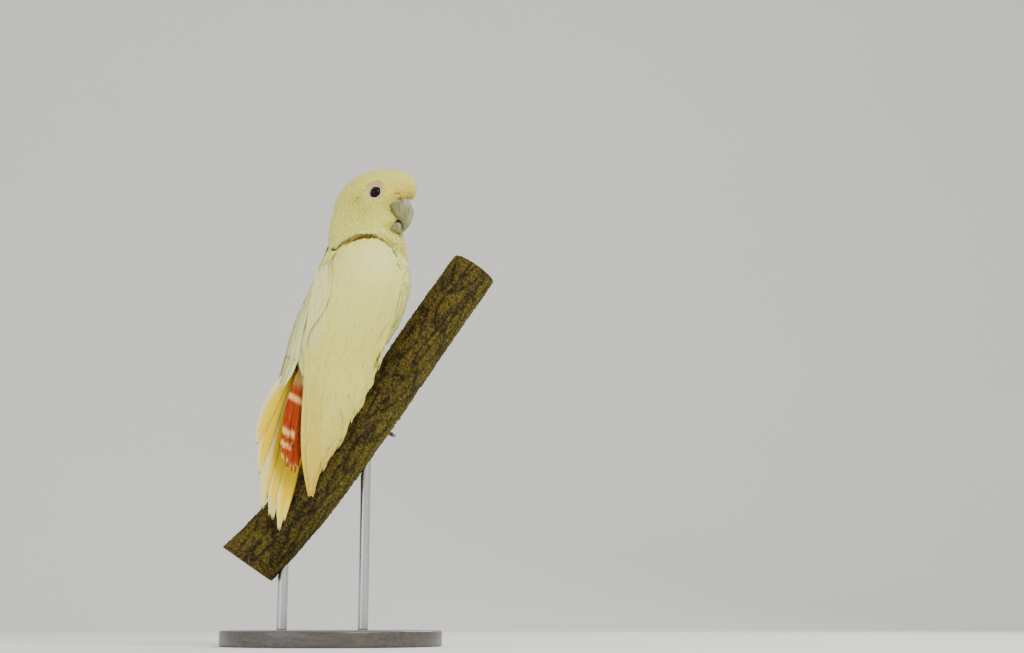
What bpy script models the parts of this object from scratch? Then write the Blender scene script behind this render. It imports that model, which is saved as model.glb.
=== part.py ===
"""A life-size red-vented cockatoo, still, clinging to a short cut length of steep branch on a display stand.

Lengths are in millimetres and angles in degrees; MM turns them into Blender's metres when a mesh is made.
World axes: +X is the way the bird faces, roughly, +Y is its far (left) side and +Z is up.
The origin is the centre of the stand base's underside. Each sub-part is one closed solid of its own.
"""

import math

import bmesh
import bpy
import numpy as np
from mathutils.bvhtree import BVHTree

MM = 0.001
GAP = 0.3  # clearance that neighbouring solids keep

# Driving dimensions.
BASE_RADIUS = 85.0
BASE_HEIGHT = 12.0
BASE_CHAMFER = 1.5
ROD_RADIUS = 4.0
ROD_PLACES = (-38.0, 24.0)  # X of each rod, under the branch

BRANCH_POINT = np.array([73.4, 0.0, 247.4])  # a point on the branch's axis
BRANCH_LEAN = 34.1  # from vertical, toward +X
BRANCH_BEND = 0.0013  # how fast the axis bends away toward -X, per millimetre squared below BRANCH_KNEE
BRANCH_KNEE = 165.0  # height
BRANCH_LOW, BRANCH_HIGH = 62.0, 300.0  # heights of the axis at the cut ends
BRANCH_RADIUS = ((0.0, 23.0), (0.35, 21.0), (0.6, 19.6), (1.0, 19.4))  # share of length, radius

BODY_YAW = 22.0  # the breast points this far round from +X toward +Y
HEAD_YAW = -30.0  # the bill points this far round from +X, toward -Y
HEAD_CENTRE = np.array([29.4, -14.0, 354.0])  # on the head's upright axis, at eye level
EYE_RADIUS = 5.0
CREST_SINK = -0.8  # where the crest's middle lies, from the crown's surface
EYE_PLACE = (7.0, 15.4, -1.3)  # forward, aside and up from the head's centre

WING_THICK, WING_TIP_THICK = 6.0, 2.2
TAIL_THICK = 2.2
EDGE_THICK = 0.9  # at the rim of each wing and the tail

UP = np.array([0.0, 0.0, 1.0])


# Shapes made by rule.


def curve(stations, at):
    """Smooth values at the positions given, through stations of (position, value, ...)."""
    table = np.array(stations, float)
    x, y = table[:, 0], table[:, 1:]
    slope = np.gradient(y, x, axis=0)
    at = np.clip(np.atleast_1d(np.asarray(at, float)), x[0], x[-1])
    i = np.clip(np.searchsorted(x, at, side="right") - 1, 0, len(x) - 2)
    h = (x[i + 1] - x[i])[:, None]
    t = (at - x[i])[:, None] / h
    start, end = y[i], y[i + 1]
    return (
        start * (2 * t**3 - 3 * t**2 + 1)
        + end * (3 * t**2 - 2 * t**3)
        + slope[i] * h * (t**3 - 2 * t**2 + t)
        + slope[i + 1] * h * (t**3 - t**2)
    )


def unit(v):
    v = np.asarray(v, float)
    return v / np.linalg.norm(v, axis=-1, keepdims=True)


def heading(yaw):
    """The level direction at this angle from +X."""
    return np.array([math.cos(math.radians(yaw)), math.sin(math.radians(yaw)), 0.0])


def oval(angle, front, back, side, power=2.2):
    """Points (forward, aside) of an egg-shaped ring; angle 0 is forward and 90 degrees is aside."""
    c, s = np.cos(angle), np.sin(angle)
    c = np.sign(c) * np.abs(c) ** (2 / power)
    s = np.sign(s) * np.abs(s) ** (2 / power)
    return np.where(c > 0, front, back) * c, side * s


def around(count):
    return np.linspace(0, 2 * math.pi, count, endpoint=False)


def make(name, points, faces, paint):
    """One object from points in millimetres, with its faces turned outward.

    They are split into triangles here, so that a piece and its clearance bend along the same edges.
    """
    mesh = bpy.data.meshes.new(name)
    mesh.from_pydata((np.asarray(points) * MM).tolist(), [], faces)
    shape = bmesh.new()
    shape.from_mesh(mesh)
    bmesh.ops.recalc_face_normals(shape, faces=shape.faces)
    bmesh.ops.triangulate(shape, faces=shape.faces)
    shape.to_mesh(mesh)
    shape.free()
    if paint:
        mesh.materials.append(paint)
    mesh.shade_smooth()
    piece = bpy.data.objects.new(name, mesh)
    bpy.context.collection.objects.link(piece)
    return piece


def loft(name, rings, paint):
    """A closed solid through rings of equally many points, with a fan over each end."""
    rings = np.asarray(rings, float)
    count, size = rings.shape[:2]
    points = list(rings.reshape(-1, 3)) + [rings[0].mean(0), rings[-1].mean(0)]
    faces = []
    for i in range(count - 1):
        for j in range(size):
            k = (j + 1) % size
            faces.append((i * size + j, i * size + k, (i + 1) * size + k, (i + 1) * size + j))
    last = (count - 1) * size
    for j in range(size):
        k = (j + 1) % size
        faces.append((k, j, count * size))
        faces.append((last + j, last + k, count * size + 1))
    return make(name, points, faces, paint)


def slab(name, middle, thick, paint):
    """A closed blade: the middle surface is a grid of points, and thick is its thickness at each."""
    rows, columns = middle.shape[:2]
    normal = unit(np.cross(np.gradient(middle, axis=0), np.gradient(middle, axis=1)))
    half = normal * thick[..., None] / 2
    points = np.concatenate([(middle + half).reshape(-1, 3), (middle - half).reshape(-1, 3)])
    under = rows * columns
    faces = []
    for i in range(rows - 1):
        for j in range(columns - 1):
            a, d = i * columns + j, (i + 1) * columns + j
            b, c = a + 1, d + 1
            faces.append((a, b, c, d))
            faces.append((under + d, under + c, under + b, under + a))
    rim = [j for j in range(columns - 1)]
    rim += [i * columns + columns - 1 for i in range(rows - 1)]
    rim += [(rows - 1) * columns + j for j in range(columns - 1, 0, -1)]
    rim += [i * columns for i in range(rows - 1, 0, -1)]
    for a, b in zip(rim, rim[1:] + rim[:1]):
        faces.append((b, a, under + a, under + b))
    return make(name, points, faces, paint)


def rounded(rows, columns, root, tip):
    """Blade thickness from root to tip, thinned toward the rim."""
    along = np.linspace(0, 1, rows)[:, None]
    across = np.linspace(-1, 1, columns)[None, :]
    body = root + (tip - root) * np.minimum(1, along * 1.25)
    fall = np.sqrt(np.clip(1 - np.abs(across) ** 4, 0, 1)) * np.sqrt(np.clip(1 - along**8, 0, 1))
    return EDGE_THICK + (body - EDGE_THICK) * fall


def tube(path, radii, sides=8, squash=1.0):
    """Rings round a path, each at a right angle to it."""
    path = np.asarray(path, float)
    ahead = unit(np.gradient(path, axis=0))
    aside = unit(np.cross(ahead, np.array([0.31, 0.17, 0.93])))
    over = np.cross(aside, ahead)
    turn = around(sides)
    return [
        p + r * (a * np.cos(turn)[:, None] + squash * o * np.sin(turn)[:, None])
        for p, r, a, o in zip(path, radii, aside, over)
    ]


def grown(piece, gap=GAP):
    """A cutter: the piece's own mesh, larger by the gap all round."""
    shape = bmesh.new()
    shape.from_mesh(piece.data)
    shape.normal_update()
    moves = [v.normal * gap * MM * min(v.calc_shell_factor(), 2.5) for v in shape.verts]
    for v, move in zip(shape.verts, moves):
        v.co += move
    mesh = bpy.data.meshes.new("clearance_" + piece.name)
    shape.to_mesh(mesh)
    shape.free()
    cutter = bpy.data.objects.new(mesh.name, mesh)
    bpy.context.collection.objects.link(cutter)
    cutter.location = piece.location
    cutter.hide_render = True
    cutter.display_type = "WIRE"
    return cutter


def boolean(piece, other, operation):
    step = piece.modifiers.new(operation.lower() + "_" + other.name, "BOOLEAN")
    step.operation = operation
    step.solver = "EXACT"
    step.object = other


def clear(piece, *neighbours):
    """Cuts the piece back so that each neighbour's clearance stays free."""
    for other in neighbours:
        cutter = bpy.data.objects.get("clearance_" + other.name) or grown(other)
        boolean(piece, cutter, "DIFFERENCE")


def paint(name, colour, roughness, metallic=0.0):
    material = bpy.data.materials.new(name)
    material.use_nodes = True
    shader = material.node_tree.nodes["Principled BSDF"]
    shader.inputs["Base Color"].default_value = (*colour, 1.0)
    shader.inputs["Roughness"].default_value = roughness
    shader.inputs["Metallic"].default_value = metallic
    return material


# The branch and its own frame: (along, round, out) from BRANCH_POINT, where round 0 faces the bird
# and 90 degrees faces +Y.

BRANCH_WAY = np.array([math.sin(math.radians(BRANCH_LEAN)), 0.0, math.cos(math.radians(BRANCH_LEAN))])
BRANCH_TOP = np.array([-BRANCH_WAY[2], 0.0, BRANCH_WAY[0]])
BRANCH_SIDE = np.array([0.0, 1.0, 0.0])


def branch_axis(height):
    bend = np.array([BRANCH_BEND * max(0.0, BRANCH_KNEE - height) ** 2, 0.0, 0.0])
    return BRANCH_POINT + BRANCH_WAY * (height - BRANCH_POINT[2]) / BRANCH_WAY[2] - bend


def branch_radius(height):
    share = (np.asarray(height, float) - BRANCH_LOW) / (BRANCH_HIGH - BRANCH_LOW)
    return float(curve(BRANCH_RADIUS, share)[0, 0])


def on_branch(height, turn, out):
    """The point this far out from the branch's axis at a height, at a turn in degrees."""
    angle = math.radians(turn)
    return branch_axis(height) + out * (BRANCH_TOP * math.cos(angle) + BRANCH_SIDE * math.sin(angle))


def perch(bark):
    rings = []
    turns = np.degrees(around(16))
    for height in np.linspace(BRANCH_LOW, BRANCH_HIGH, 16):
        radius = branch_radius(height)
        ring = []
        for turn in turns:
            lump = 0.5 * math.sin(math.radians(3 * turn) + height / 19)
            ring.append(on_branch(height, turn, radius + lump))
        rings.append(ring)
    return loft("perch", rings, bark)


def stand(board, steel, branch):
    bpy.ops.mesh.primitive_cylinder_add(
        vertices=44, radius=BASE_RADIUS * MM, depth=BASE_HEIGHT * MM, location=(0, 0, BASE_HEIGHT * MM / 2)
    )
    base = bpy.context.object
    base.name = base.data.name = "stand_base"
    base.data.materials.append(board)
    edge = base.modifiers.new("edge", "BEVEL")
    edge.width = BASE_CHAMFER * MM
    edge.segments = 1
    edge.limit_method = "ANGLE"
    for name, place in zip(("stand_rod_low", "stand_rod_high"), ROD_PLACES):
        foot = BASE_HEIGHT + GAP
        heights = np.linspace(BRANCH_LOW, BRANCH_HIGH, 200)
        top = float(np.interp(place, [branch_axis(h)[0] for h in heights], heights))
        middle = (place * MM, 0, (top + foot) / 2 * MM)
        bpy.ops.mesh.primitive_cylinder_add(
            vertices=20, radius=ROD_RADIUS * MM, depth=(top - foot) * MM, location=middle
        )
        rod = bpy.context.object
        rod.name = rod.data.name = name
        rod.data.materials.append(steel)
        clear(rod, branch)


# Head, neck and trunk.

# height: centre x, y, front, back, side, yaw of the ring
HEAD_RINGS = (
    (286, 19, -11, 20, 20, 18, 10),
    (296, 20, -11, 27, 27, 25, 10),
    (306, 21, -11.5, 32, 30, 29.5, 8),
    (316, 23, -12, 29, 32, 28, -2),
    (325, 25.5, -13, 25, 35, 25.5, -14),
    (334, 28, -13.5, 19.5, 38, 23, -24),
    (343, 29.4, -14, 18.5, 38.5, 21.5, -30),
    (349, 29.4, -14, 27, 38, 20, -30),
    (354, 29.4, -14, 32.5, 36.5, 19, -30),
    (359, 29.4, -14, 34, 33.5, 18, -30),
    (365, 30, -14, 31.5, 28.5, 16, -30),
    (370, 31.5, -14.5, 25.5, 22, 12.5, -30),
    (374.2, 33.5, -15, 14.5, 12.5, 7.5, -30),
    (376.4, 34.5, -15.5, 4, 4, 2.6, -30),
)
HEAD_CUT = 331.0  # height of the thin cut between head and neck at the centre
# height and swell of the neck's rings: a plug inside the shoulders, then the rolled collar
COLLAR_RINGS = (
    (290, 0), (298, -1), (305, -3), (307, 0), (309, 1.8), (312, 2.6), (316, 1.6), (320, 0.4), (325, 0)
)


def collar_shift(round_angle):
    """How far the collar's rim is raised over each shoulder and lowered at the back."""
    forward = np.cos(round_angle)
    return -8.0 * np.cos(2 * round_angle) + 4.0 * forward + 5.0 * np.minimum(0, forward)


# the opening that shows the lower bill, in the head's own axes: forward and up
MOUTH = (
    (19.5, -21.5), (18.2, -26.0), (14.8, -30.6), (19.0, -34.5), (25.0, -38.5), (36.0, -38.5), (36.0, -21.5)
)


def head_ring(height, extra=0.0, count=24):
    x, y, front, back, side, yaw = curve(HEAD_RINGS, height)[0]
    forward = heading(yaw)
    aside = np.cross(forward, UP)
    f, s = oval(around(count), front + 0.3 * extra, back + 0.6 * extra, side + extra)
    points = np.array([x, y, 0.0]) + f[:, None] * forward + s[:, None] * aside
    level = np.arctan2(points[:, 1] - y, points[:, 0] - x)
    low = np.clip((335.0 - height) / 26.0, 0, 1)
    points[:, 2] = height + collar_shift(level) * low * low * (3 - 2 * low)
    return points


def head_and_neck(white):
    """The neck ends in a rolled rim that stands proud of the shoulders, over a plug inside them."""
    cut = HEAD_CUT
    head_levels = (cut + GAP / 2, 335, 339, 343, 346, 350, 354, 359, 364, 368, 371.5, 374, 376)
    head = loft("head", [head_ring(h) for h in head_levels], white)
    neck_rings = [head_ring(h, extra) for h, extra in COLLAR_RINGS]
    neck_rings.append(head_ring(cut - GAP / 2))
    neck = loft("neck", neck_rings, white)
    return head, neck


def in_head(forward, aside, up):
    """A world point from the head's own axes; aside is the bird's right."""
    ahead = heading(HEAD_YAW)
    right = np.cross(ahead, UP)
    return HEAD_CENTRE + forward * ahead + aside * right + up * UP


def open_mouth(neck):
    """Cuts the feathering back from the lower bill, straight through from side to side."""
    count = len(MOUTH)
    points = [in_head(forward, aside, up) for aside in (-30.0, 30.0) for forward, up in MOUTH]
    faces = [tuple(range(count)), tuple(reversed(range(count, 2 * count)))]
    faces += [(i, (i + 1) % count, (i + 1) % count + count, i + count) for i in range(count)]
    cutter = make("mouth", points, faces, None)
    cutter.hide_render = True
    boolean(neck, cutter, "DIFFERENCE")


# x, y, z of the trunk's middle line and its half depth and half width, by share from tail to neck
TRUNK_LINE = (
    (0.0, -23, -30, 188, 8, 9),
    (0.15, -14, -30, 207, 18, 18),
    (0.34, -3, -27, 228, 28.5, 28),
    (0.55, 9, -21.5, 253, 36, 33.5),
    (0.76, 18, -16.5, 278, 37.5, 34.5),
    (0.92, 21.5, -12.5, 301, 33, 30),
    (1.0, 22, -11, 316, 19, 20),
)


def trunk(white):
    breast = heading(BODY_YAW)
    rings = []
    for share in (0.0, 0.05, 0.11, 0.19, 0.29, 0.4, 0.51, 0.62, 0.73, 0.82, 0.9, 0.96, 1.0):
        x, y, z, deep, wide = curve(TRUNK_LINE, share)[0]
        before = curve(TRUNK_LINE, max(0, share - 0.05))[0, :3]
        after = curve(TRUNK_LINE, min(1, share + 0.05))[0, :3]
        along = unit(after - before)
        belly = unit(breast - along * (breast @ along))
        right = np.cross(belly, along)
        f, s = oval(around(18), deep, deep, wide, 2.1)
        rings.append(np.array([x, y, z]) + f[:, None] * belly + s[:, None] * right)
    return loft("trunk", rings, white)


def crest(head, white):
    """The flat-lying crest: a low lens over the crown that comes to a point behind it."""
    rows, columns = 9, 7
    corners = [v.co / MM for v in head.data.vertices]
    surface = BVHTree.FromPolygons(corners, [list(p.vertices) for p in head.data.polygons])
    middle = in_head(-2.0, 0.0, -6.0)
    grid = np.zeros((rows, columns, 3))
    for i, tilt in enumerate(np.linspace(62, 150, rows)):
        share = i / (rows - 1)
        width = 24.0 * math.sin(math.pi * (0.10 + 0.86 * share)) ** 0.8
        for j, spread in enumerate(np.linspace(-1, 1, columns)):
            level = math.cos(math.radians(tilt))
            aside = spread * math.tan(math.radians(width))
            way = unit(in_head(level, aside, math.sin(math.radians(tilt))) - HEAD_CENTRE)
            found = surface.ray_cast(middle, way)[0]
            grid[i, j] = np.array(found) + way * (CREST_SINK + 0.6 * share)
    return slab("crest", grid, rounded(rows, columns, 2.6, 2.6), white)


# Bill and eyes, in the head's own axes: forward and up.

# outer edge forward, up; inner edge forward, up; half width
UPPER_BILL = (
    (0.0, 22.0, 2.0, 9.0, -15.0, 9.0),
    (0.25, 29.2, -4.0, 14.0, -19.0, 8.8),
    (0.45, 32.0, -11.5, 17.5, -22.0, 7.4),
    (0.65, 31.8, -19.0, 20.4, -22.8, 5.7),
    (0.82, 29.0, -25.4, 22.3, -24.6, 3.8),
    (0.94, 26.0, -29.2, 23.4, -27.8, 1.9),
    (1.0, 24.2, -31.0, 23.8, -30.4, 0.7),
)
# height of top and bottom edge and half width, by forward place
LOWER_BILL = (
    (8.0, -23.0, -29.0, 7.0),
    (13.0, -22.6, -31.8, 7.2),
    (18.0, -23.2, -32.4, 6.0),
    (22.0, -24.2, -30.4, 4.0),
    (24.2, -25.6, -28.0, 2.0),
)


def bills(horn):
    rings = []
    for share in np.linspace(0, 1, 13):
        outer_f, outer_u, inner_f, inner_u, half = curve(UPPER_BILL, share)[0]
        centre = np.array([outer_f + inner_f, outer_u + inner_u]) / 2
        reach = np.array([outer_f - inner_f, outer_u - inner_u]) / 2
        tall, wide = oval(around(14), 1.0, 1.0, half, 2.3)
        wide = wide * (1 - 0.22 * np.clip(tall, 0, 1))
        ring = centre + reach * tall[:, None]
        rings.append([in_head(forward, aside, up) for (forward, up), aside in zip(ring, wide)])
    upper = loft("bill_upper", rings, horn)
    rings = []
    for place in np.linspace(LOWER_BILL[0][0], LOWER_BILL[-1][0], 8):
        top, bottom, half = curve(LOWER_BILL, place)[0]
        tall, wide = oval(around(12), (top - bottom) / 2, (top - bottom) / 2, half, 2.3)
        rings.append([in_head(place, w, (top + bottom) / 2 + t) for t, w in zip(tall, wide)])
    lower = loft("bill_lower", rings, horn)
    clear(lower, upper)
    return upper, lower


def eyes(dark):
    made = []
    for name, side in (("eye_right", 1), ("eye_left", -1)):
        forward, aside, up = EYE_PLACE
        place = in_head(forward, side * aside, up)
        bpy.ops.mesh.primitive_uv_sphere_add(
            segments=12, ring_count=8, radius=EYE_RADIUS * MM, location=place * MM
        )
        eye = bpy.context.object
        eye.name = eye.data.name = name
        eye.data.materials.append(dark)
        eye.data.shade_smooth()
        made.append(eye)
    return made


# Wings: rows by height. Each row is part of an ellipse round a centre, from the back edge to the
# breast edge: centre x, y, half length, half depth, back angle, breast angle.

RIGHT_WING = (
    (110, -17.6, -26, 20, 13, -91, -89),
    (115, -19, -26, 20, 14, -100, -80),
    (132, -18, -27, 20, 15, -112, -68),
    (148, -13, -28, 26, 16, -121.5, -60),
    (166, -9, -30, 30, 16.5, -123, -58),
    (187, -2, -30, 36, 20, -128, -52),
    (210, 0, -30, 36, 24, -136, -37),
    (231, 0, -27, 40, 32, -128, -24),
    (253, 8, -22, 41, 37, -122.5, -22),
    (265, 12.5, -19.5, 42, 38.5, -122, -34),
    (278, 17, -17, 41.5, 38.5, -127, -44),
    (290, 19.2, -14.8, 39, 36.4, -135, -46),
    (296, 20.3, -13.9, 37.4, 35.2, -136, -48),
    (301, 21, -13, 36, 34, -133, -51),
    (306, 21.4, -12.2, 33.5, 31.8, -131, -54),
    (310, 21.7, -11.5, 31.2, 29.8, -125, -62),
    (314, 21.9, -10.8, 29, 27.8, -115, -76),
    (318, 22, -10, 27, 26, -100, -88),
)
LEFT_WING = (
    (112, -44, 2, 6, 7, 184, 165),
    (117, -42, 0, 9, 9, 185, 145),
    (130, -35, -6, 16, 15, 186, 118),
    (150, -30, -12, 22, 19, 190, 110),
    (177, -26, -20, 28, 22, 195, 105),
    (190, -20.5, -24, 27.5, 24, 208, 100),
    (202, -14.5, -27, 29, 25, 222, 95),
    (215, -9, -28, 30.5, 27, 225, 85),
    (235, 1.5, -25.5, 36.5, 33, 219, 78),
    (253, 10, -22, 39.5, 37, 215, 75),
    (278, 19.5, -17, 39, 38.5, 205, 75),
    (301, 23, -13, 34, 34, 190, 79),
    (318, 22, -10, 27, 26, 164, 79),
)


def wing(name, rows, levels, columns, white):
    grid = np.zeros((len(levels), columns, 3))
    for i, height in enumerate(levels):
        x, y, long, deep, back, front = curve(rows, height)[0]
        angles = np.radians(np.linspace(back, front, columns))
        grid[i] = np.stack(
            [x + long * np.cos(angles), y + deep * np.sin(angles), np.full(columns, float(height))], axis=-1
        )
    return slab(name, grid, rounded(len(levels), columns, WING_THICK, WING_TIP_THICK), white)


def wings(white):
    steps = (316, 307, 296, 284, 272, 260, 248, 236, 224, 212, 200, 187, 174, 160, 146, 133, 123)
    shoulder = (316, 312, 307, 301, 296, 290)
    right = wing("wing_right", RIGHT_WING, shoulder + steps[3:] + (115, 111), 8, white)
    left = wing("wing_left", LEFT_WING, steps + (117, 113), 8, white)
    return right, left


# Tail: rows by height, from its left-hand edge in the view from -Y to its right-hand edge.
# left x, y; right x, y; the share of a ragged tip comes from tail_reach.

TAIL_ROWS = (
    (88, -43, -34, -36, -30),
    (100, -53, -41, -34, -28),
    (114, -57, -44, -32, -25),
    (130, -59, -46, -28, -21),
    (150, -61, -47, -22, -16),
    (165, -60, -46.5, -14, -13),
    (177, -56, -44, -11, -13),
    (188, -48, -38.5, -12, -16),
    (198, -40, -34, -14, -20),
)


def tail(white):
    columns = 11
    levels = (196, 190, 182, 173, 163, 153, 142, 130, 118, 106)
    grid = np.zeros((len(levels) + 2, columns, 3))
    across = np.linspace(0, 1, columns)
    for i, height in enumerate(levels):
        left_x, left_y, right_x, right_y = curve(TAIL_ROWS, height)[0]
        camber = 3.0 * np.sin(math.pi * across)
        grid[i, :, 0] = left_x + (right_x - left_x) * across
        grid[i, :, 1] = left_y + (right_y - left_y) * across + camber
        grid[i, :, 2] = height
    drop = tail_drop(across)
    step = unit(grid[len(levels) - 1] - grid[len(levels) - 3])
    grid[len(levels)] = grid[len(levels) - 1] + step * (drop * 0.55)[:, None]
    grid[len(levels) + 1] = grid[len(levels) - 1] + step * drop[:, None]
    return slab("tail", grid, rounded(len(levels) + 2, columns, TAIL_THICK * 1.6, TAIL_THICK), white)


def tail_drop(across):
    """How far each feather end reaches below the last full row, in lobes."""
    lobes = 3.0 * np.abs(np.sin(across * math.pi * 4))
    return 4.0 + 12.0 * np.exp(-((across - 0.62) / 0.22) ** 2) + lobes


COVERT_ROWS = (
    (130, -34, -40, -30, -39),
    (140, -41.5, -43, -26, -37),
    (155, -41, -42.5, -23, -37),
    (170, -38.5, -42, -21, -37),
    (185, -34, -40.5, -19, -37),
    (198, -30.5, -38.5, -18, -36),
    (206, -26.5, -37, -18, -35),
)


def undertail_coverts(red):
    levels = (204, 196, 187, 178, 168, 158, 148, 139, 132)
    columns = 7
    grid = np.zeros((len(levels), columns, 3))
    across = np.linspace(0, 1, columns)
    for i, height in enumerate(levels):
        left_x, left_y, right_x, right_y = curve(COVERT_ROWS, height)[0]
        grid[i, :, 0] = left_x + (right_x - left_x) * across
        grid[i, :, 1] = left_y + (right_y - left_y) * across
        grid[i, :, 2] = height
    return slab("undertail_coverts", grid, rounded(len(levels), columns, 5.0, 2.0), red)


# Legs. A foot stands on the branch at a height and a turn; its toes and claws run round the bark.

# side: height of the palm on the branch's axis, turn, hip, ankle
LEGS = {
    "right": (161.4, 5.0, (2.0, -27.0, 226.0), (-12.0, -5.0, 189.0)),
    "left": (177.5, 74.0, (3.0, -12.0, 228.0), (12.5, 27.0, 196.0)),
}
# toe: turn it reaches from the palm, slide along the branch, thickness, claw length
TOES = {
    "right": (
        (84.0, 2.0, 3.1, 10.0), (56.0, 9.0, 2.9, 9.0), (-50.0, -19.0, 3.1, 10.0), (-38.0, -4.0, 2.7, 8.0)
    ),
    "left": (
        (86.0, 0.0, 3.1, 10.0), (60.0, 12.0, 2.9, 9.0), (-60.0, -2.0, 3.1, 10.0), (-48.0, 6.0, 2.7, 8.0)
    ),
}


def toe_path(side, toe, count=6):
    height, turn, _, _ = LEGS[side]
    reach, slide, thick, _ = TOES[side][toe]
    path = []
    for share in np.linspace(0, 1, count):
        along = height + slide * share
        lift = branch_radius(along) + 0.75 * thick + 2.0 * (1 - share) ** 2 + 1.3 * math.sin(math.pi * share)
        path.append(on_branch(along, turn + reach * share, lift))
    return path


def foot(side, scale):
    """A short scaled shank and four toes, two each way round the branch, joined into one solid."""
    height, turn, _, ankle = LEGS[side]
    palm = on_branch(height, turn, branch_radius(height) + 4.0)
    path = [palm + (np.array(ankle) - palm) * share for share in np.linspace(0, 1, 6)]
    shank = loft("foot_" + side, tube(path, (4.4, 4.0, 3.5, 3.4, 3.7, 3.9), 7), scale)
    for toe, (_, _, thick, _) in enumerate(TOES[side]):
        radii = thick * np.array([1.15, 1.03, 1.03, 0.98, 0.92, 0.62])
        part = loft(f"toe_shape_{side}_{toe}", tube(toe_path(side, toe), radii, 5, 0.9), scale)
        part.hide_render = True
        part.display_type = "WIRE"
        boolean(shank, part, "UNION")
    return shank


def claws(side, horn):
    """One curved claw on the end of each toe."""
    height, turn, _, _ = LEGS[side]
    made = []
    for toe, (reach, slide, thick, length) in enumerate(TOES[side]):
        sign = math.copysign(1.0, reach)
        end = height + slide
        ground = branch_radius(end)
        sweep = math.degrees(length / (ground + thick))
        path = []
        for share in np.linspace(0, 1, 5):
            lift = ground + 0.75 * thick + 0.9 + 2.2 * math.sin(math.pi * share * 0.75) - 2.6 * share**2
            path.append(on_branch(end, turn + reach - sign * 2.0 + sign * sweep * share, lift))
        radii = thick * np.array([0.66, 0.58, 0.46, 0.3, 0.09])
        made.append(loft(f"claw_{side}_{toe + 1}", tube(path, radii, 6), horn))
    return made


def thigh(side, white):
    _, _, hip, ankle = LEGS[side]
    path = curve(((0, *hip), (1, *ankle)), np.linspace(-0.0, 1, 8))
    radii = (11.0, 12.5, 12.8, 12.0, 10.4, 8.6, 6.9, 5.6)
    return loft("thigh_" + side, tube(path, radii, 12, 1.1), white)


def main():
    for old in list(bpy.data.objects):
        bpy.data.objects.remove(old)
    white = paint("plumage", (0.78, 0.76, 0.62), 0.75)
    red = paint("red_coverts", (0.70, 0.12, 0.02), 0.7)
    horn = paint("bill_horn", (0.42, 0.43, 0.38), 0.4)
    claw_horn = paint("claw_horn", (0.12, 0.11, 0.10), 0.4)
    dark = paint("eye", (0.01, 0.008, 0.006), 0.08)
    scale = paint("foot_scales", (0.30, 0.28, 0.27), 0.6)
    bark = paint("bark", (0.16, 0.12, 0.07), 0.9)
    board = paint("stand_board", (0.05, 0.045, 0.04), 0.45)
    steel = paint("stand_rod", (0.55, 0.55, 0.55), 0.3, 1.0)

    branch = perch(bark)
    stand(board, steel, branch)
    head, neck = head_and_neck(white)
    body = trunk(white)
    cap = crest(head, white)
    upper, lower = bills(horn)
    eye_pair = eyes(dark)
    right, left = wings(white)
    fan = tail(white)
    coverts = undertail_coverts(red)

    clear(head, upper, lower, cap, *eye_pair)
    open_mouth(neck)
    clear(neck, upper, lower)
    clear(right, neck)
    clear(left, neck)
    clear(body, neck, right, left)
    clear(fan, body, right, left)
    clear(coverts, fan, body, right)
    legs = []
    for side in ("right", "left"):
        shank = foot(side, scale)
        talons = claws(side, claw_horn)
        leg = thigh(side, white)
        clear(shank, branch, *talons)
        for talon in talons:
            clear(talon, branch)
        clear(leg, body, right, left, branch, shank, *legs)
        legs.append(leg)


main()
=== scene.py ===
"""Skin, plumage, bill, eyes, feet, perch and stand of a life-size red-vented cockatoo.

Sizes are in metres. The bird clings to a leaning branch: its right side faces -Y, its breast +X.
"""

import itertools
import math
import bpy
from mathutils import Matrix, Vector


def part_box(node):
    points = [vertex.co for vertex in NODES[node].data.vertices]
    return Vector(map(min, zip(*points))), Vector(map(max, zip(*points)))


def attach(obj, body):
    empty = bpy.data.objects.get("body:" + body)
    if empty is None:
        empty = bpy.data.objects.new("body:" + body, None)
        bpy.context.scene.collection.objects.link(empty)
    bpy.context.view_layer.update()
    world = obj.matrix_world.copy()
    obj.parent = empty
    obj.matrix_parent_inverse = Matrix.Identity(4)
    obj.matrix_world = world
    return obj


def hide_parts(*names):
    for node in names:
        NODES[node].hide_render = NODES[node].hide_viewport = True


bl_info = {
    "name": "Cockatoo on a cut branch",
    "version": (1, 0, 0),
    "blender": (4, 5, 0),
    "location": "View3D > Sidebar > Cockatoo",
    "description": "Builds the skin, plumage, bill, eyes, feet, perch and stand of a display cockatoo",
    "category": "Object",
}

import bmesh
import bpy
import numpy as np
from mathutils import Vector, noise
from mathutils.bvhtree import BVHTree

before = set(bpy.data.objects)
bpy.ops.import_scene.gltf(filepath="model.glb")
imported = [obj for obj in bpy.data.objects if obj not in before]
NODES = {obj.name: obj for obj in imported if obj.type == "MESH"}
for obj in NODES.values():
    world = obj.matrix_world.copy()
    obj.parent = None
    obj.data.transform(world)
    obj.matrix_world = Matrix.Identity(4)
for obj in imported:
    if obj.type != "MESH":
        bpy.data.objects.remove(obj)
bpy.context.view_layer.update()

MM = 0.001
UP = np.array([0.0, 0.0, 1.0])
BODY_NODES = ("head", "neck", "crest", "trunk", "thigh_left", "thigh_right")
CLAW_NODES = tuple(f"claw_{side}_{toe}" for side in ("left", "right") for toe in range(1, 5))


# Places read from the frame.


def unit(v):
    v = np.asarray(v, float)
    return v / np.maximum(np.linalg.norm(v, axis=-1, keepdims=True), 1e-12)


def centre(node):
    low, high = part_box(node)
    return (np.array(low) + np.array(high)) / 2


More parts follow.
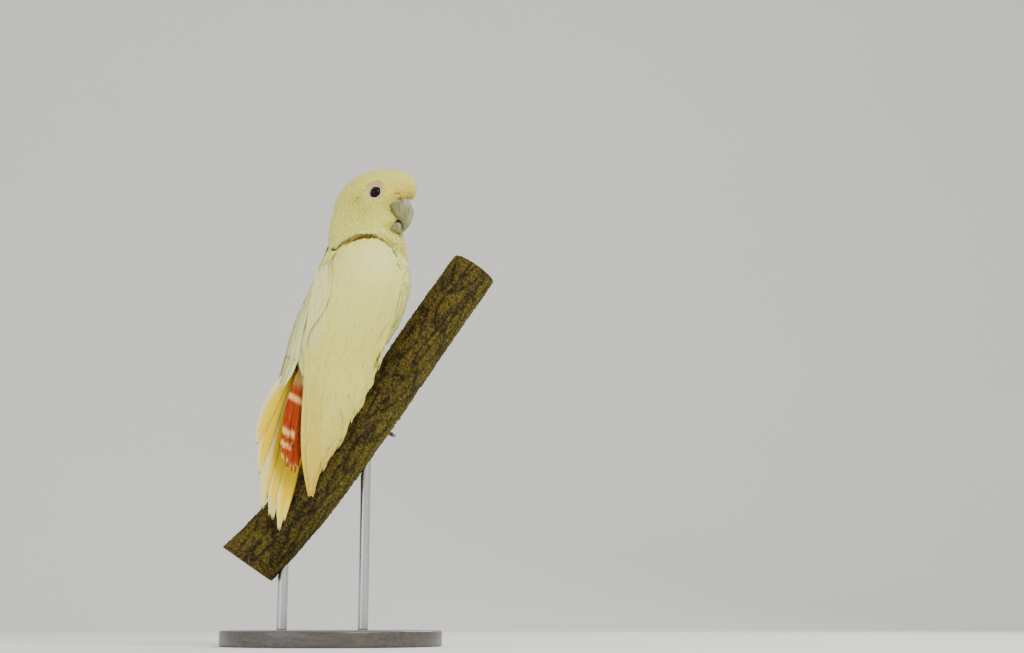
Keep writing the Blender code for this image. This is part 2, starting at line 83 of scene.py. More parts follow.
EYE_RIGHT, EYE_LEFT = centre("eye_right"), centre("eye_left")
EYE_RADIUS = (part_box("eye_right")[1].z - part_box("eye_right")[0].z) / 2
HEAD_ASIDE = unit((EYE_RIGHT - EYE_LEFT) * (1, 1, 0))
HEAD_AHEAD = np.cross(UP, HEAD_ASIDE)
EYE_FORWARD, EYE_UP = 7.0 * MM, -1.3 * MM
HEAD_CENTRE = (EYE_RIGHT + EYE_LEFT) / 2 - HEAD_AHEAD * EYE_FORWARD - UP * EYE_UP
BILL_ROOT = HEAD_CENTRE + HEAD_AHEAD * 17 * MM - UP * 10 * MM
BODY_WAY = unit((-0.33, -0.12, -0.93))  # from the neck to the tail
FLESH_VOXEL = 1.0 * MM  # grid on which the shell and the skin are made
CHEEK = 8.0 * MM  # what lies further aside than this belongs to a side of the head
BARE_RING = 10.0 * MM  # reach of the lids and bare skin from the eye's middle
BRANCH_LEAN = math.radians(34)
# heights that bound the coats and the fold under the neck's rolled rim
NECK_LOW, NECK_TOP, HEAD_LOW = 0.285, 0.334, 0.326
FOLD_TOP, COVERTS_TOP = 0.330, 0.325
# height at which each root is cut to be joined to the skin
ROOT_CUTS = {"wing_right": 0.226, "wing_left": 0.206, "tail": 0.178}
# rows of each folded wing by height, in millimetres: a level ellipse's centre x, y, half length and
# half depth, then the angles of the wing's back edge and breast edge on it
WING_ROWS = {
    "wing_right": (
        (110, -17.6, -26, 20, 13, -91, -89),
        (115, -19, -26, 20, 14, -100, -80),
        (132, -18, -27, 20, 15, -112, -68),
        (148, -13, -28, 26, 16, -121.5, -60),
        (166, -9, -30, 30, 16.5, -123, -58),
        (187, -2, -30, 36, 20, -128, -52),
        (210, 0, -30, 36, 24, -136, -37),
        (231, 0, -27, 40, 32, -128, -24),
        (253, 8, -22, 41, 37, -122.5, -22),
        (265, 12.5, -19.5, 42, 38.5, -122, -34),
        (278, 17, -17, 41.5, 38.5, -127, -44),
        (290, 19.2, -14.8, 39, 36.4, -135, -46),
        (296, 20.3, -13.9, 37.4, 35.2, -136, -48),
        (301, 21, -13, 36, 34, -133, -51),
        (306, 21.4, -12.2, 33.5, 31.8, -131, -54),
        (310, 21.7, -11.5, 31.2, 29.8, -125, -62),
        (314, 21.9, -10.8, 29, 27.8, -115, -76),
        (318, 22, -10, 27, 26, -100, -88),
    ),
    "wing_left": (
        (112, -44, 2, 6, 7, 184, 165),
        (117, -42, 0, 9, 9, 185, 145),
        (130, -35, -6, 16, 15, 186, 118),
        (150, -30, -12, 22, 19, 190, 110),
        (177, -26, -20, 28, 22, 195, 105),
        (190, -20.5, -24, 27.5, 24, 208, 100),
        (202, -14.5, -27, 29, 25, 222, 95),
        (215, -9, -28, 30.5, 27, 225, 85),
        (235, 1.5, -25.5, 36.5, 33, 219, 78),
        (253, 10, -22, 39.5, 37, 215, 75),
        (278, 19.5, -17, 39, 38.5, 205, 75),
        (301, 23, -13, 34, 34, 190, 79),
        (318, 22, -10, 27, 26, 164, 79),
    ),
}
# rows of the tail and of its coverts by height: the left edge's x, y and the right edge's, seen from -Y
TAIL_ROWS = (
    (80, -43, -32, -36, -29),
    (100, -53, -41, -34, -28),
    (114, -57, -44, -32, -25),
    (130, -59, -46, -28, -21),
    (150, -61, -47, -22, -16),
    (165, -60, -46.5, -14, -13),
    (177, -56, -44, -11, -13),
    (188, -48, -38.5, -12, -16),
    (204, -36, -32, -14, -22),
)
COVERT_ROWS = (
    (124, -34, -39, -28, -38),
    (140, -41.5, -43, -26, -37),
    (155, -41, -42.5, -23, -37),
    (170, -38.5, -42, -21, -37),
    (185, -34, -40.5, -19, -37),
    (198, -30.5, -38.5, -18, -36),
    (210, -24.5, -36.5, -18, -35),
)


def curve(stations, at):
    """Smooth values at the positions given, through stations of (position, value, ...)."""
    table = np.array(stations, float)
    x, y = table[:, 0], table[:, 1:]
    slope = np.gradient(y, x, axis=0)
    at = np.clip(np.asarray(at, float), x[0], x[-1])
    i = np.clip(np.searchsorted(x, at, side="right") - 1, 0, len(x) - 2)
    h = (x[i + 1] - x[i])[..., None]
    t = (at - x[i])[..., None] / h
    start, end = y[i], y[i + 1]
    return (
        start * (2 * t**3 - 3 * t**2 + 1)
        + end * (3 * t**2 - 2 * t**3)
        + slope[i] * h * (t**3 - 2 * t**2 + t)
        + slope[i + 1] * h * (t**3 - t**2)
    )


def in_head(points):
    """World points as forward, aside and up from the head's centre, in metres; aside is the bird's right."""
    away = np.asarray(points, float) - HEAD_CENTRE
    return np.stack([away @ HEAD_AHEAD, away @ HEAD_ASIDE, away[..., 2]], axis=-1)


NOSTRIL_AHEAD, NOSTRIL_UP = 23.4, -4.3  # middle of the nostril's slit in the head, in millimetres
NOSTRIL_HALF_LONG, NOSTRIL_HALF_TALL = 1.7, 0.75


def nostril_gap(points):
    """How far each point is from the slit of the nostril on its side: 1 at the slit's edge."""
    place = in_head(points) / MM
    ahead, up = place[..., 0] - NOSTRIL_AHEAD, place[..., 2] - NOSTRIL_UP
    along, over = ahead * 0.9 + up * 0.43, up * 0.9 - ahead * 0.43
    gap = np.hypot(along / NOSTRIL_HALF_LONG, over / NOSTRIL_HALF_TALL)
    return np.where((place[..., 1] > 2.0) | (place[..., 1] < -4.2), gap, 9.0)


def smooth_step(value, low, high):
    t = np.clip((np.asarray(value, float) - low) / (high - low), 0, 1)
    return t * t * (3 - 2 * t)


def below(value, top, bottom):
    """0 above the top, rising to 1 at the bottom."""
    return smooth_step(-value, -top, -bottom)


def hill(*terms):
    """A bell over terms of (value, middle, width): 1 where every value is at its middle."""
    return np.exp(-sum(((value - middle) / width) ** 2 for value, middle, width in terms))


def narrowed(mask, points, test):
    """The mask, kept only where the test of its points holds."""
    shown = mask.copy()
    shown[mask] = test(points[mask])
    return shown


def blend(tint, colour, share):
    """Moves each tint toward a colour."""
    tint += (np.array(colour) - tint) * share[:, None]


def darken(tint, share):
    tint *= 1 - share[:, None]


# Settings that a user would change.


def colour(name, description, default):
    return bpy.props.FloatVectorProperty(
        name=name, description=description, default=default, size=3, min=0, max=1, subtype="COLOR"
    )


def length(name, description, default, **limits):
    return bpy.props.FloatProperty(
        name=name, description=description, default=default, unit="LENGTH", subtype="DISTANCE", **limits
    )


class PlumageSettings(bpy.types.PropertyGroup):
    """Depth and colours of the plumage"""

    coat: length("Coat depth", "How far the skin lies under the feathers' outer face", 1.5 * MM, min=0.0)
    barb: length("Barb spacing", "Distance between the fine lines across each vane", 0.55 * MM, min=0.0001)
    cream: colour("Cream", "Head, neck and body feathers", (0.715, 0.680, 0.125))
    # pale also makes the painted highlight on the neck's rolled rim
    pale: colour("Pale", "Breast and the outer edges of the wing", (0.765, 0.745, 0.215))
    # painted shade: a yellow-green shade colour, blended onto the lower cheek and the nape
    shade: colour("Shade", "Yellow-green cast on the cheek and flank", (0.53, 0.49, 0.048))
    # painted light: a cool, bluish white that stands for sky light on the far wing, the back and the near
    # wing's back edge
    sky_lit_white: colour("Cool white", "The far wing's feathers", (0.74, 0.76, 0.37))
    # gold also makes the painted shade in the fold under the neck's rim, beside the right wing's edge and in
    # the ochre lines on the near wing
    gold: colour("Gold", "Lores, forehead and the folds between feather tracts", (0.72, 0.46, 0.030))
    yellow: colour("Yellow", "Inner webs of the tail feathers", (0.92, 0.66, 0.0))
    white: colour("White", "Outer webs of the tail feathers", (0.84, 0.76, 0.27))
    red: colour("Red", "Undertail coverts", (0.33, 0.027, 0.0002))
    bar: colour("Bar", "Whitish bars of the undertail coverts", (0.82, 0.50, 0.14))


class HornSettings(bpy.types.PropertyGroup):
    """Colours of the bill, claws, feet, eyes and bare skin"""

    bill: colour("Bill", "Sides of the bill", (0.205, 0.200, 0.080))
    # painted highlight: the paler, bluish keel stands for light on the bill's front ridge
    keel: colour("Bill keel", "Bluish front of the upper bill", (0.32, 0.325, 0.20))
    claw: colour("Claw", "Claws", (0.10, 0.095, 0.09))
    foot: colour("Foot", "Scaly skin of the feet", (0.42, 0.40, 0.37))
    lid: colour("Eye ring", "Bare skin round the eye", (0.76, 0.57, 0.33))
    iris: colour("Iris", "Iris round the pupil", (0.008, 0.005, 0.004))


class SupportSettings(bpy.types.PropertyGroup):
    """Colours of the branch and the stand"""

    bark: colour("Bark", "Ridges of the bark", (0.150, 0.104, 0.012))
    # the hollows' colour is partly the bark's own darker colour, partly painted shade
    fissure: colour("Fissure", "Hollows of the bark", (0.016, 0.011, 0.004))
    moss: colour("Moss", "Yellow-green growth on the bark", (0.145, 0.115, 0.004))
    wood: colour("Cut wood", "Sawn ends of the branch", (0.50, 0.36, 0.20))
    board: colour("Board", "Base of the stand", (0.045, 0.042, 0.040))
    rod: colour("Rod", "Rods of the stand", (0.55, 0.55, 0.56))


class StageSettings(bpy.types.PropertyGroup):
    """Floor, lights and camera"""

    floor: colour("Floor", "Floor and backdrop", (0.80, 0.80, 0.78))
    key: bpy.props.FloatProperty(
        name="Key", description="Power of the main light, in watts", default=25.0, min=0
    )
    distance: length("Camera distance", "Camera's distance in front of the stand", 1.2, min=0.2)


def plumage():
    return bpy.context.scene.cockatoo_plumage


def horn():
    return bpy.context.scene.cockatoo_horn


def support():
    return bpy.context.scene.cockatoo_support


# Small tools for pieces.


def deselect():
    bpy.ops.object.select_all(action="DESELECT")


def activate(piece):
    deselect()
    piece.select_set(True)
    bpy.context.view_layer.objects.active = piece


def apply(piece, kind, **values):
    """Adds a modifier with these values and applies it."""
    activate(piece)
    step = piece.modifiers.new(kind.lower(), kind)
    for key, value in values.items():
        setattr(step, key, value)
    bpy.ops.object.modifier_apply(modifier=step.name)


def linked(name, data):
    """A new object in the scene."""
    piece = bpy.data.objects.new(name, data)
    bpy.context.scene.collection.objects.link(piece)
    return piece


def keep(piece, slot, *nodes):
    """Hands a finished piece over: it rides on the model and stands for these nodes."""
    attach(piece, "root")
    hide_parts(*nodes)
    return piece


def solid_copy(name, nodes, voxel, rounds, factor=0.5):
    """One closed, smoothed mesh round all the given nodes of the frame."""
    deselect()
    for node in nodes:
        twin = linked(node + "_twin", NODES[node].data.copy())
        twin.select_set(True)
        bpy.context.view_layer.objects.active = twin
    if len(nodes) > 1:
        bpy.ops.object.join()
    piece = bpy.context.view_layer.objects.active
    piece.name = piece.data.name = name
    piece.data.materials.clear()
    apply(piece, "WELD", merge_threshold=0.01 * MM)
    apply(piece, "REMESH", mode="VOXEL", voxel_size=voxel)
    apply(piece, "SMOOTH", factor=factor, iterations=rounds)
    piece.data.shade_smooth()
    return piece


def vectors(items, key):
    flat = np.empty(len(items) * 3, np.float32)
    items.foreach_get(key, flat)
    return flat.reshape(-1, 3).astype(float)


def points_of(piece):
    return vectors(piece.data.vertices, "co")


def normals_of(piece):
    return vectors(piece.data.vertex_normals, "vector")


def move_points(piece, points):
    piece.data.vertices.foreach_set("co", np.asarray(points, np.float32).ravel())
    piece.data.update()


def tree_of(piece):
    corners = [Vector(p) for p in points_of(piece)]
    return BVHTree.FromPolygons(corners, [tuple(p.vertices) for p in piece.data.polygons])


def node_tree(node):
    return tree_of(NODES[node])


def paint_points(piece, colours):
    """Stores a colour for each vertex as the attribute Tint."""
    tint = piece.data.color_attributes.new("Tint", "FLOAT_COLOR", "POINT")
    full = np.ones((len(colours), 4), np.float32)
    full[:, :3] = colours
    tint.data.foreach_set("color", full.ravel())


def add_uv(mesh, name, values):
    """A UV map from one place for each vertex."""
    corner = np.empty(len(mesh.loops), np.int32)
    mesh.loops.foreach_get("vertex_index", corner)
    layer = mesh.uv_layers.new(name=name)
    layer.data.foreach_set("uv", values[corner].astype(np.float32).ravel())


def in_tile(places):
    """Places fitted to the unit square, with a narrow margin."""
    low, high = places.min(0), places.max(0)
    return 0.01 + 0.98 * (places - low) / np.maximum(high - low, 1e-9)


# Materials.


class Nodes:
    """Short ways to add and join shader nodes."""

    def __init__(self, name):
        self.material = bpy.data.materials.new(name)
        self.material.use_nodes = True
        self.tree = self.material.node_tree
        self.shader = self.tree.nodes["Principled BSDF"]

    def add(self, kind, **values):
        node = self.tree.nodes.new(kind)
        for key, value in values.items():
            setattr(node, key, value)
        return node

    def link(self, source, target):
        self.tree.links.new(source, target)

    def put(self, socket, value):
        if hasattr(value, "is_output"):
            self.link(value, socket)
        else:
            socket.default_value = value

    def maths(self, operation, first, second=0.0):
        node = self.add("ShaderNodeMath", operation=operation)
        self.put(node.inputs[0], first)
        self.put(node.inputs[1], second)
        return node.outputs[0]

    def mix(self, share, first, second, blend="MIX"):
        node = self.add("ShaderNodeMix", data_type="RGBA", blend_type=blend)
        self.put(node.inputs[0], share)
        for socket, value in ((node.inputs[6], first), (node.inputs[7], second)):
            self.put(socket, value if hasattr(value, "is_output") else (*value, 1.0))
        return node.outputs[2]

    def tint(self):
        """The colour stored at each vertex."""
        return self.add("ShaderNodeAttribute", attribute_name="Tint").outputs["Color"]

    def shade(self, colour, source, *stops):
        """The colour made darker or paler by a ramp of the source."""
        return self.mix(1.0, colour, self.ramp(source, *stops), "MULTIPLY")

    def place(self, scale=(1.0, 1.0, 1.0), turn=(0.0, 0.0, 0.0)):
        """Object coordinates, turned and scaled."""
        where = self.add("ShaderNodeTexCoord")
        mapping = self.add("ShaderNodeMapping")
        mapping.inputs["Scale"].default_value = scale
        mapping.inputs["Rotation"].default_value = turn
        self.link(where.outputs["Object"], mapping.inputs["Vector"])
        return mapping.outputs["Vector"]

    def noise(self, vector, scale, detail=4.0, rough=0.55):
        node = self.add("ShaderNodeTexNoise")
        node.inputs["Scale"].default_value = scale
        node.inputs["Detail"].default_value = detail
        node.inputs["Roughness"].default_value = rough
        self.link(vector, node.inputs["Vector"])
        return node.outputs["Fac"]

    def ramp(self, source, *stops):
        node = self.add("ShaderNodeValToRGB")
        marks = node.color_ramp.elements
        while len(marks) < len(stops):
            marks.new(0.5)
        for mark, (place, value) in zip(marks, stops):
            mark.position = place
            mark.color = (value, value, value, 1.0)
        self.link(source, node.inputs["Fac"])
        return node.outputs["Color"]

    def bump(self, height, strength, distance):
        node = self.add("ShaderNodeBump")
        node.inputs["Strength"].default_value = strength
        node.inputs["Distance"].default_value = distance
        self.link(height, node.inputs["Height"])
        self.link(node.outputs["Normal"], self.shader.inputs["Normal"])

    def finish(self, colour, roughness, **constants):
        self.put(self.shader.inputs["Base Color"], colour if hasattr(colour, "is_output") else (*colour, 1.0))
        self.put(self.shader.inputs["Roughness"], roughness)
        for key, value in constants.items():
            self.shader.inputs[key.replace("_", " ")].default_value = value
        return self.material


def feather_paint():
    """Vanes: the tint of each vertex, with barbs that slant away from a paler shaft."""
    m = Nodes("feather")
    web = m.add("ShaderNodeUVMap", uv_map="Vane").outputs["UV"]
    parts = m.add("ShaderNodeSeparateXYZ")
    m.link(web, parts.inputs[0])
    across = m.maths("ABSOLUTE", parts.outputs["X"])
    slant = m.maths("SUBTRACT", parts.outputs["Y"], m.maths("MULTIPLY", across, 1.3))
    wave = m.maths("SINE", m.maths("MULTIPLY", slant, 2 * math.pi * MM / plumage().barb))
    strand = m.noise(web, 1.4, 3.0)
    locks = m.noise(m.place((1.0, 1.0, 0.25)), 900.0, 2.0)
    shaft = m.maths("LESS_THAN", across, 0.10)
    lines = m.maths("ADD", m.maths("MULTIPLY", wave, 0.25), m.maths("ADD", strand, locks))
    shaded = m.shade(m.tint(), lines, (0.55, 0.86), (1.35, 1.05))
    final = m.mix(m.maths("MULTIPLY", shaft, 0.16), shaded, (0.9, 0.86, 0.50))
    m.bump(m.maths("ADD", lines, m.maths("MULTIPLY", shaft, 1.5)), 0.35, 0.12 * MM)
    return m.finish(final, 0.62, Sheen_Weight=0.05, Sheen_Roughness=0.4, Specular_IOR_Level=0.12)


def skin_paint():
    """Skin under the feathers: the same markings, with fine wrinkles and pores."""
    m = Nodes("skin")
    pores = m.noise(m.place(), 1500.0, 5.0)
    colour = m.shade(m.tint(), pores, (0.3, 0.88), (0.7, 1.04))
    m.bump(pores, 0.4, 0.15 * MM)
    return m.finish(colour, 0.55, Subsurface_Weight=0.08, Subsurface_Scale=0.002)


def bill_paint():
    """Horn: greyish green sides, a bluish keel, growth lines along it and a dull, dusty finish."""
    m = Nodes("bill")
    cloud = m.noise(m.place(), 260.0, 5.0)
    lines = m.noise(m.place((1.0, 1.0, 0.16)), 1100.0, 3.0)
    worn = m.maths("ADD", m.maths("MULTIPLY", cloud, 0.6), m.maths("MULTIPLY", lines, 0.4))
    colour = m.shade(m.tint(), worn, (0.30, 0.72), (0.72, 1.22))
    m.bump(worn, 0.35, 0.25 * MM)
    return m.finish(colour, m.maths("ADD", 0.28, m.maths("MULTIPLY", cloud, 0.3)), Coat_Weight=0.15)


def claw_paint():
    m = Nodes("claw")
    cloud = m.noise(m.place((1.0, 1.0, 0.4)), 600.0)
    colour = m.mix(m.ramp(cloud, (0.35, 0.0), (0.75, 1.0)), tuple(horn().claw), (0.24, 0.22, 0.20))
    m.bump(cloud, 0.3, 0.1 * MM)
    return m.finish(colour, 0.35, Coat_Weight=0.2)


def foot_paint():
    """Grey scaly skin: small plates parted by dark lines."""
    m = Nodes("foot")
    plates = m.add("ShaderNodeTexVoronoi", feature="DISTANCE_TO_EDGE")
    plates.inputs["Scale"].default_value = 1050.0
    m.link(m.place(), plates.inputs["Vector"])
    raised = m.ramp(plates.outputs["Distance"], (0.02, 0.0), (0.16, 1.0))
    cloud = m.noise(m.place(), 350.0)
    base = m.mix(raised, (0.10, 0.09, 0.085), tuple(horn().foot))
    colour = m.shade(base, cloud, (0.3, 0.8), (0.7, 1.2))
    m.bump(raised, 0.7, 0.35 * MM)
    return m.finish(colour, 0.6)


def eye_paint():
    """A near-black pupil and dark iris under a wet clear coat."""
    m = Nodes("eye")
    fibres = m.noise(m.place(), 1400.0, 2.0)
    colour = m.shade(m.tint(), fibres, (0.3, 0.6), (0.7, 1.3))
    return m.finish(colour, 0.08, Coat_Weight=0.10, Coat_Roughness=0.03, Specular_IOR_Level=0.08)


def bark_paint():
    """Bark from the vertex tint, with fine fibres along the branch."""
    m = Nodes("bark")
    fibre = m.noise(m.place((1.0, 1.0, 0.28), (0.0, -BRANCH_LEAN, 0.0)), 900.0, 6.0, 0.65)
    grit = m.noise(m.place(), 700.0, 5.0, 0.7)
    rough = m.maths("ADD", m.maths("MULTIPLY", fibre, 0.55), m.maths("MULTIPLY", grit, 0.45))
    colour = m.shade(m.tint(), rough, (0.32, 0.25), (0.5, 0.9), (0.68, 1.9))
    m.bump(rough, 0.9, 0.8 * MM)
    return m.finish(colour, 0.88, Specular_IOR_Level=0.25)


def board_paint():
    """Dark stained board with a faint grain under satin lacquer."""
    m = Nodes("board")
    grain = m.noise(m.place((1.0, 14.0, 14.0)), 28.0, 6.0, 0.6)
    colour = m.mix(m.ramp(grain, (0.35, 0.0), (0.7, 1.0)), tuple(support().board), (0.10, 0.085, 0.070))
    m.bump(grain, 0.15, 0.1 * MM)
    return m.finish(colour, 0.38, Coat_Weight=0.25, Coat_Roughness=0.25)


def rod_paint():
    m = Nodes("rod")
    brushed = m.noise(m.place((60.0, 60.0, 1.0)), 40.0, 3.0)
    m.bump(brushed, 0.08, 0.05 * MM)
    rough = m.maths("ADD", 0.22, m.maths("MULTIPLY", brushed, 0.2))
    return m.finish(tuple(support().rod), rough, Metallic=1.0)


def floor_paint():
    m = Nodes("floor")
    cloud = m.noise(m.place(), 3.0, 3.0)
    colour = m.mix(cloud, tuple(bpy.context.scene.cockatoo_stage.floor), (0.83, 0.83, 0.81))
    return m.finish(colour, 0.7)


# Markings, with painted shade and painted sky light among them: one rule for the colour of the skin and of
# every feather.


# height and x of the ochre line between the near wing's cream and the cooler white behind it; the ochre is
# painted shade and the cooler white is painted sky light
WING_BORDER = ((190, -20), (205, -19), (220, -16), (240, -12), (258, -9.7), (294, -6.5), (310, -4))


def body_tint(points, wing=None):
    """The plumage colour at each point; wing names the folded wing that the points lie on."""
    s = plumage()
    points = np.asarray(points, float)
    tint = np.tile(np.array(s.cream), (len(points), 1))
    ahead, aside, up = in_head(points).T / MM
    x, height = points[:, 0] / MM, points[:, 2] / MM
    if wing == "wing_left":
        # painted light: below the neck the far wing turns to the sky-lit cool white
        blend(tint, s.sky_lit_white, 0.85 * below(height, 314, 286))
        return tint
    blend(tint, s.pale, 0.85 * below(height, 322, 296))
    breast = hill((x, 34, 16), (height, 296, 17)) * (height < 322)
    blend(tint, np.array(s.pale) * (1.08, 1.10, 1.5), 0.75 * breast)
    if wing == "wing_right":
        blend(tint, s.cream, 0.75 * below(height, 290, 215))
        blend(tint, s.gold, 0.72 * below(height, 185, 120))
        # painted shade: an ochre streak down the wing's left edge, low down
        blend(tint, s.gold, 0.45 * hill((x, -16, 6)) * below(height, 208, 190))
        border = x - curve(WING_BORDER, height)[..., 0]
        low = smooth_step(height, 205, 240)
        # painted sky light: cool white behind the border; painted shade: ochre lines along the border and
        # just behind it
        blend(tint, s.sky_lit_white, 0.65 * (1 - smooth_step(border, -1.5, 1.5)) * low)
        ochre = np.array(s.gold) * (0.95, 1.08, 1.6)
        blend(tint, ochre, 0.55 * hill((border, 0, 0.9)) * low * (height < 290))
        blend(tint, ochre, 0.30 * hill((border, -5.5, 0.7)) * low * (height < 265))
    lores = hill((ahead, 23, 11), (aside, 0, 16), (up, -1, 9)) * (height > 335)
    blend(tint, np.array(s.gold) * (0.90, 0.84, 0.9), 0.92 * lores)
    # painted shade on the lower cheek and, more faintly, on the nape
    cheek = hill((ahead, 2, 15), (up, -17, 13)) * (np.abs(aside) > 6)
    blend(tint, s.shade, 0.50 * cheek)
    nape = hill((ahead, -12, 12), (up, -2, 9)) * (height > 330)
    blend(tint, s.shade, 0.25 * nape)
    throat = hill((x, 50, 4.0), (height, 314, 8.0)) * (points[:, 1] < 0.002)
    strand = 0.45 + 0.55 * np.sin(x * 3.1 + 0.12 * height)
    blend(tint, np.array(s.gold) * 0.8, 0.85 * throat * np.clip(strand, 0, 1))
    # a dusky patch behind the eye and a small fleck in it
    for place_ahead, place_up, long, tall, dark in ((-8, -6, 4.5, 3.5, 0.28), (-7.5, -4.2, 1.1, 0.9, 0.65)):
        mark = hill((ahead, place_ahead, long), (up, place_up, tall)) * (np.abs(aside) > CHEEK / MM)
        darken(tint, dark * mark)
    return tint


# Vanes: closed, thin blades laid in batches.


def vane_faces(rows, columns):
    """Faces of one closed vane with the given steps along and across; the rim is shared by both faces."""

    def top(r, c):
        return r * (columns + 1) + c

    total = (rows + 1) * (columns + 1)

    def under(r, c):
        if r in (0, rows) or c in (0, columns):
            return top(r, c)
        return total + (r - 1) * (columns - 1) + c - 1

    faces = []
    for r in range(rows):
        for c in range(columns):
            faces.append((top(r, c), top(r + 1, c), top(r + 1, c + 1), top(r, c + 1)))
            faces.append((under(r, c), under(r, c + 1), under(r + 1, c + 1), under(r + 1, c)))
    return np.array(faces), total + (rows - 1) * (columns - 1)


# heights along the body's middle line, and its x and y there
MIDDLE_LINE = (
    (0.11, 0.188, 0.253, 0.301, 0.354),
    (-0.03, -0.02, 0.009, 0.021, 0.029),
    (-0.03, -0.03, -0.021, -0.013, -0.014),
)


def unwrap(points):
    """The plumage's unwrap: the turn round the middle line, and the height run on over the crown."""
    points = np.asarray(points, float)
    height = np.minimum(points[:, 2], HEAD_CENTRE[2])
    x, y = (np.interp(height, MIDDLE_LINE[0], row) for row in MIDDLE_LINE[1:])
    away = points - np.stack([x, y, height], axis=-1)
    level = np.hypot(away[:, 0], away[:, 1])
    turn = np.arctan2(away[:, 1], away[:, 0]) / (2 * math.pi)
    return np.stack([turn, height / 0.2 + np.arctan2(away[:, 2], level) * 0.16], axis=-1)


PATCH = 0.003  # side of each vane's patch in the OFBake map


def both_faces(outer, inner):
    """Values for each vane's outer face, then for the vertices that only its inner face has."""
    number, width = outer.shape[0], outer.shape[-1]
    pair = outer.reshape(number, -1, width), inner.reshape(number, -1, width)
    return np.concatenate(pair, axis=1).reshape(-1, width)


class Coat:
    """Collects vanes and makes them one mesh."""

    def __init__(self, name):
        self.name = name
        self.points, self.faces, self.webs, self.patches, self.tints = [], [], [], [], []
        self.roots, self.sides = [], []
        self.count = 0

    def add(
        self, middle, normal, half, long, tint,
        columns=2, crown=0.2, thick=0.1 * MM, fray=0.0, seed=1, tilt=0.0,
    ):
        """Adds vanes: middle and normal are (vanes, rows + 1, 3), half the half widths at each row."""
        number, rows = middle.shape[0], middle.shape[1] - 1
        if not number:
            return
        random = np.random.RandomState(seed)
        along = unit(np.gradient(middle, axis=1))
        side = unit(np.cross(normal, along))
        across = np.linspace(-1, 1, columns + 1)
        grid = middle[:, :, None] + side[:, :, None] * (half[:, :, None] * across)[..., None]
        rise = half[:, :, None] * (crown * (1 - across**2) + tilt * across)
        grid = grid + normal[:, :, None] * rise[..., None]
        if fray:
            reach = random.uniform(-fray, fray, (number, columns + 1)) * half.max(axis=1)[:, None]
            grid[:, -1] += along[:, -1][:, None] * reach[..., None]
        inner = grid[:, 1:-1, 1:-1] - normal[:, 1:-1, None] * thick
        faces, size = vane_faces(rows, columns)
        start = self.count + np.arange(number)[:, None, None] * size
        self.faces.append((faces[None] + start).reshape(-1, 4))
        self.points.append(both_faces(grid, inner))
        self.count += number * size

        share = np.linspace(0, 1, rows + 1)
        web_x = (half[:, :, None] * across) / MM
        web_y = np.broadcast_to((long[:, None] * share)[:, :, None] / MM, web_x.shape)
        web = np.stack([web_x, web_y], axis=-1)
        web = web + random.uniform(0, 40, number)[:, None, None, None] * np.array([0.0, 1.0])
        root = unwrap(middle[:, 0])
        patch_x = np.broadcast_to(across[None, None] * PATCH / 2, web_x.shape)
        patch_y = np.broadcast_to((share[None, :, None] - 0.5) * PATCH, web_x.shape)
        patch = np.stack([patch_x, patch_y], axis=-1)
        for store, value in ((self.webs, web), (self.patches, patch), (self.tints, tint)):
            store.append(both_faces(value, value[:, 1:-1, 1:-1]))
        self.roots.append(np.repeat(root, size, axis=0))
        sides = np.broadcast_to(normal[:, :, None], grid.shape)
        self.sides.append(both_faces(sides, -sides[:, 1:-1, 1:-1]))

    def make(self, material, slot, *nodes, soft=0.0):
        """Makes the mesh; soft is how far its shading follows the surface underneath."""
        points, faces = np.concatenate(self.points), np.concatenate(self.faces)
        mesh = bpy.data.meshes.new(self.name)
        mesh.vertices.add(len(points))
        mesh.vertices.foreach_set("co", points.astype(np.float32).ravel())
        mesh.loops.add(faces.size)
        mesh.loops.foreach_set("vertex_index", faces.astype(np.int32).ravel())
        mesh.polygons.add(len(faces))
        mesh.polygons.foreach_set("loop_start", np.arange(0, faces.size, 4, dtype=np.int32))
        mesh.update(calc_edges=True)
        add_uv(mesh, "OFBake", in_tile(np.concatenate(self.roots)) + np.concatenate(self.patches))
        add_uv(mesh, "Vane", np.concatenate(self.webs))
        piece = linked(self.name, mesh)
        paint_points(piece, np.concatenate(self.tints))
        mesh.materials.append(material)
        mesh.shade_smooth()
        if soft:
            shading = unit(normals_of(piece) * (1 - soft) + np.concatenate(self.sides) * soft)
            mesh.normals_split_custom_set_from_vertices(shading.tolist())
        return keep(piece, slot, *nodes)


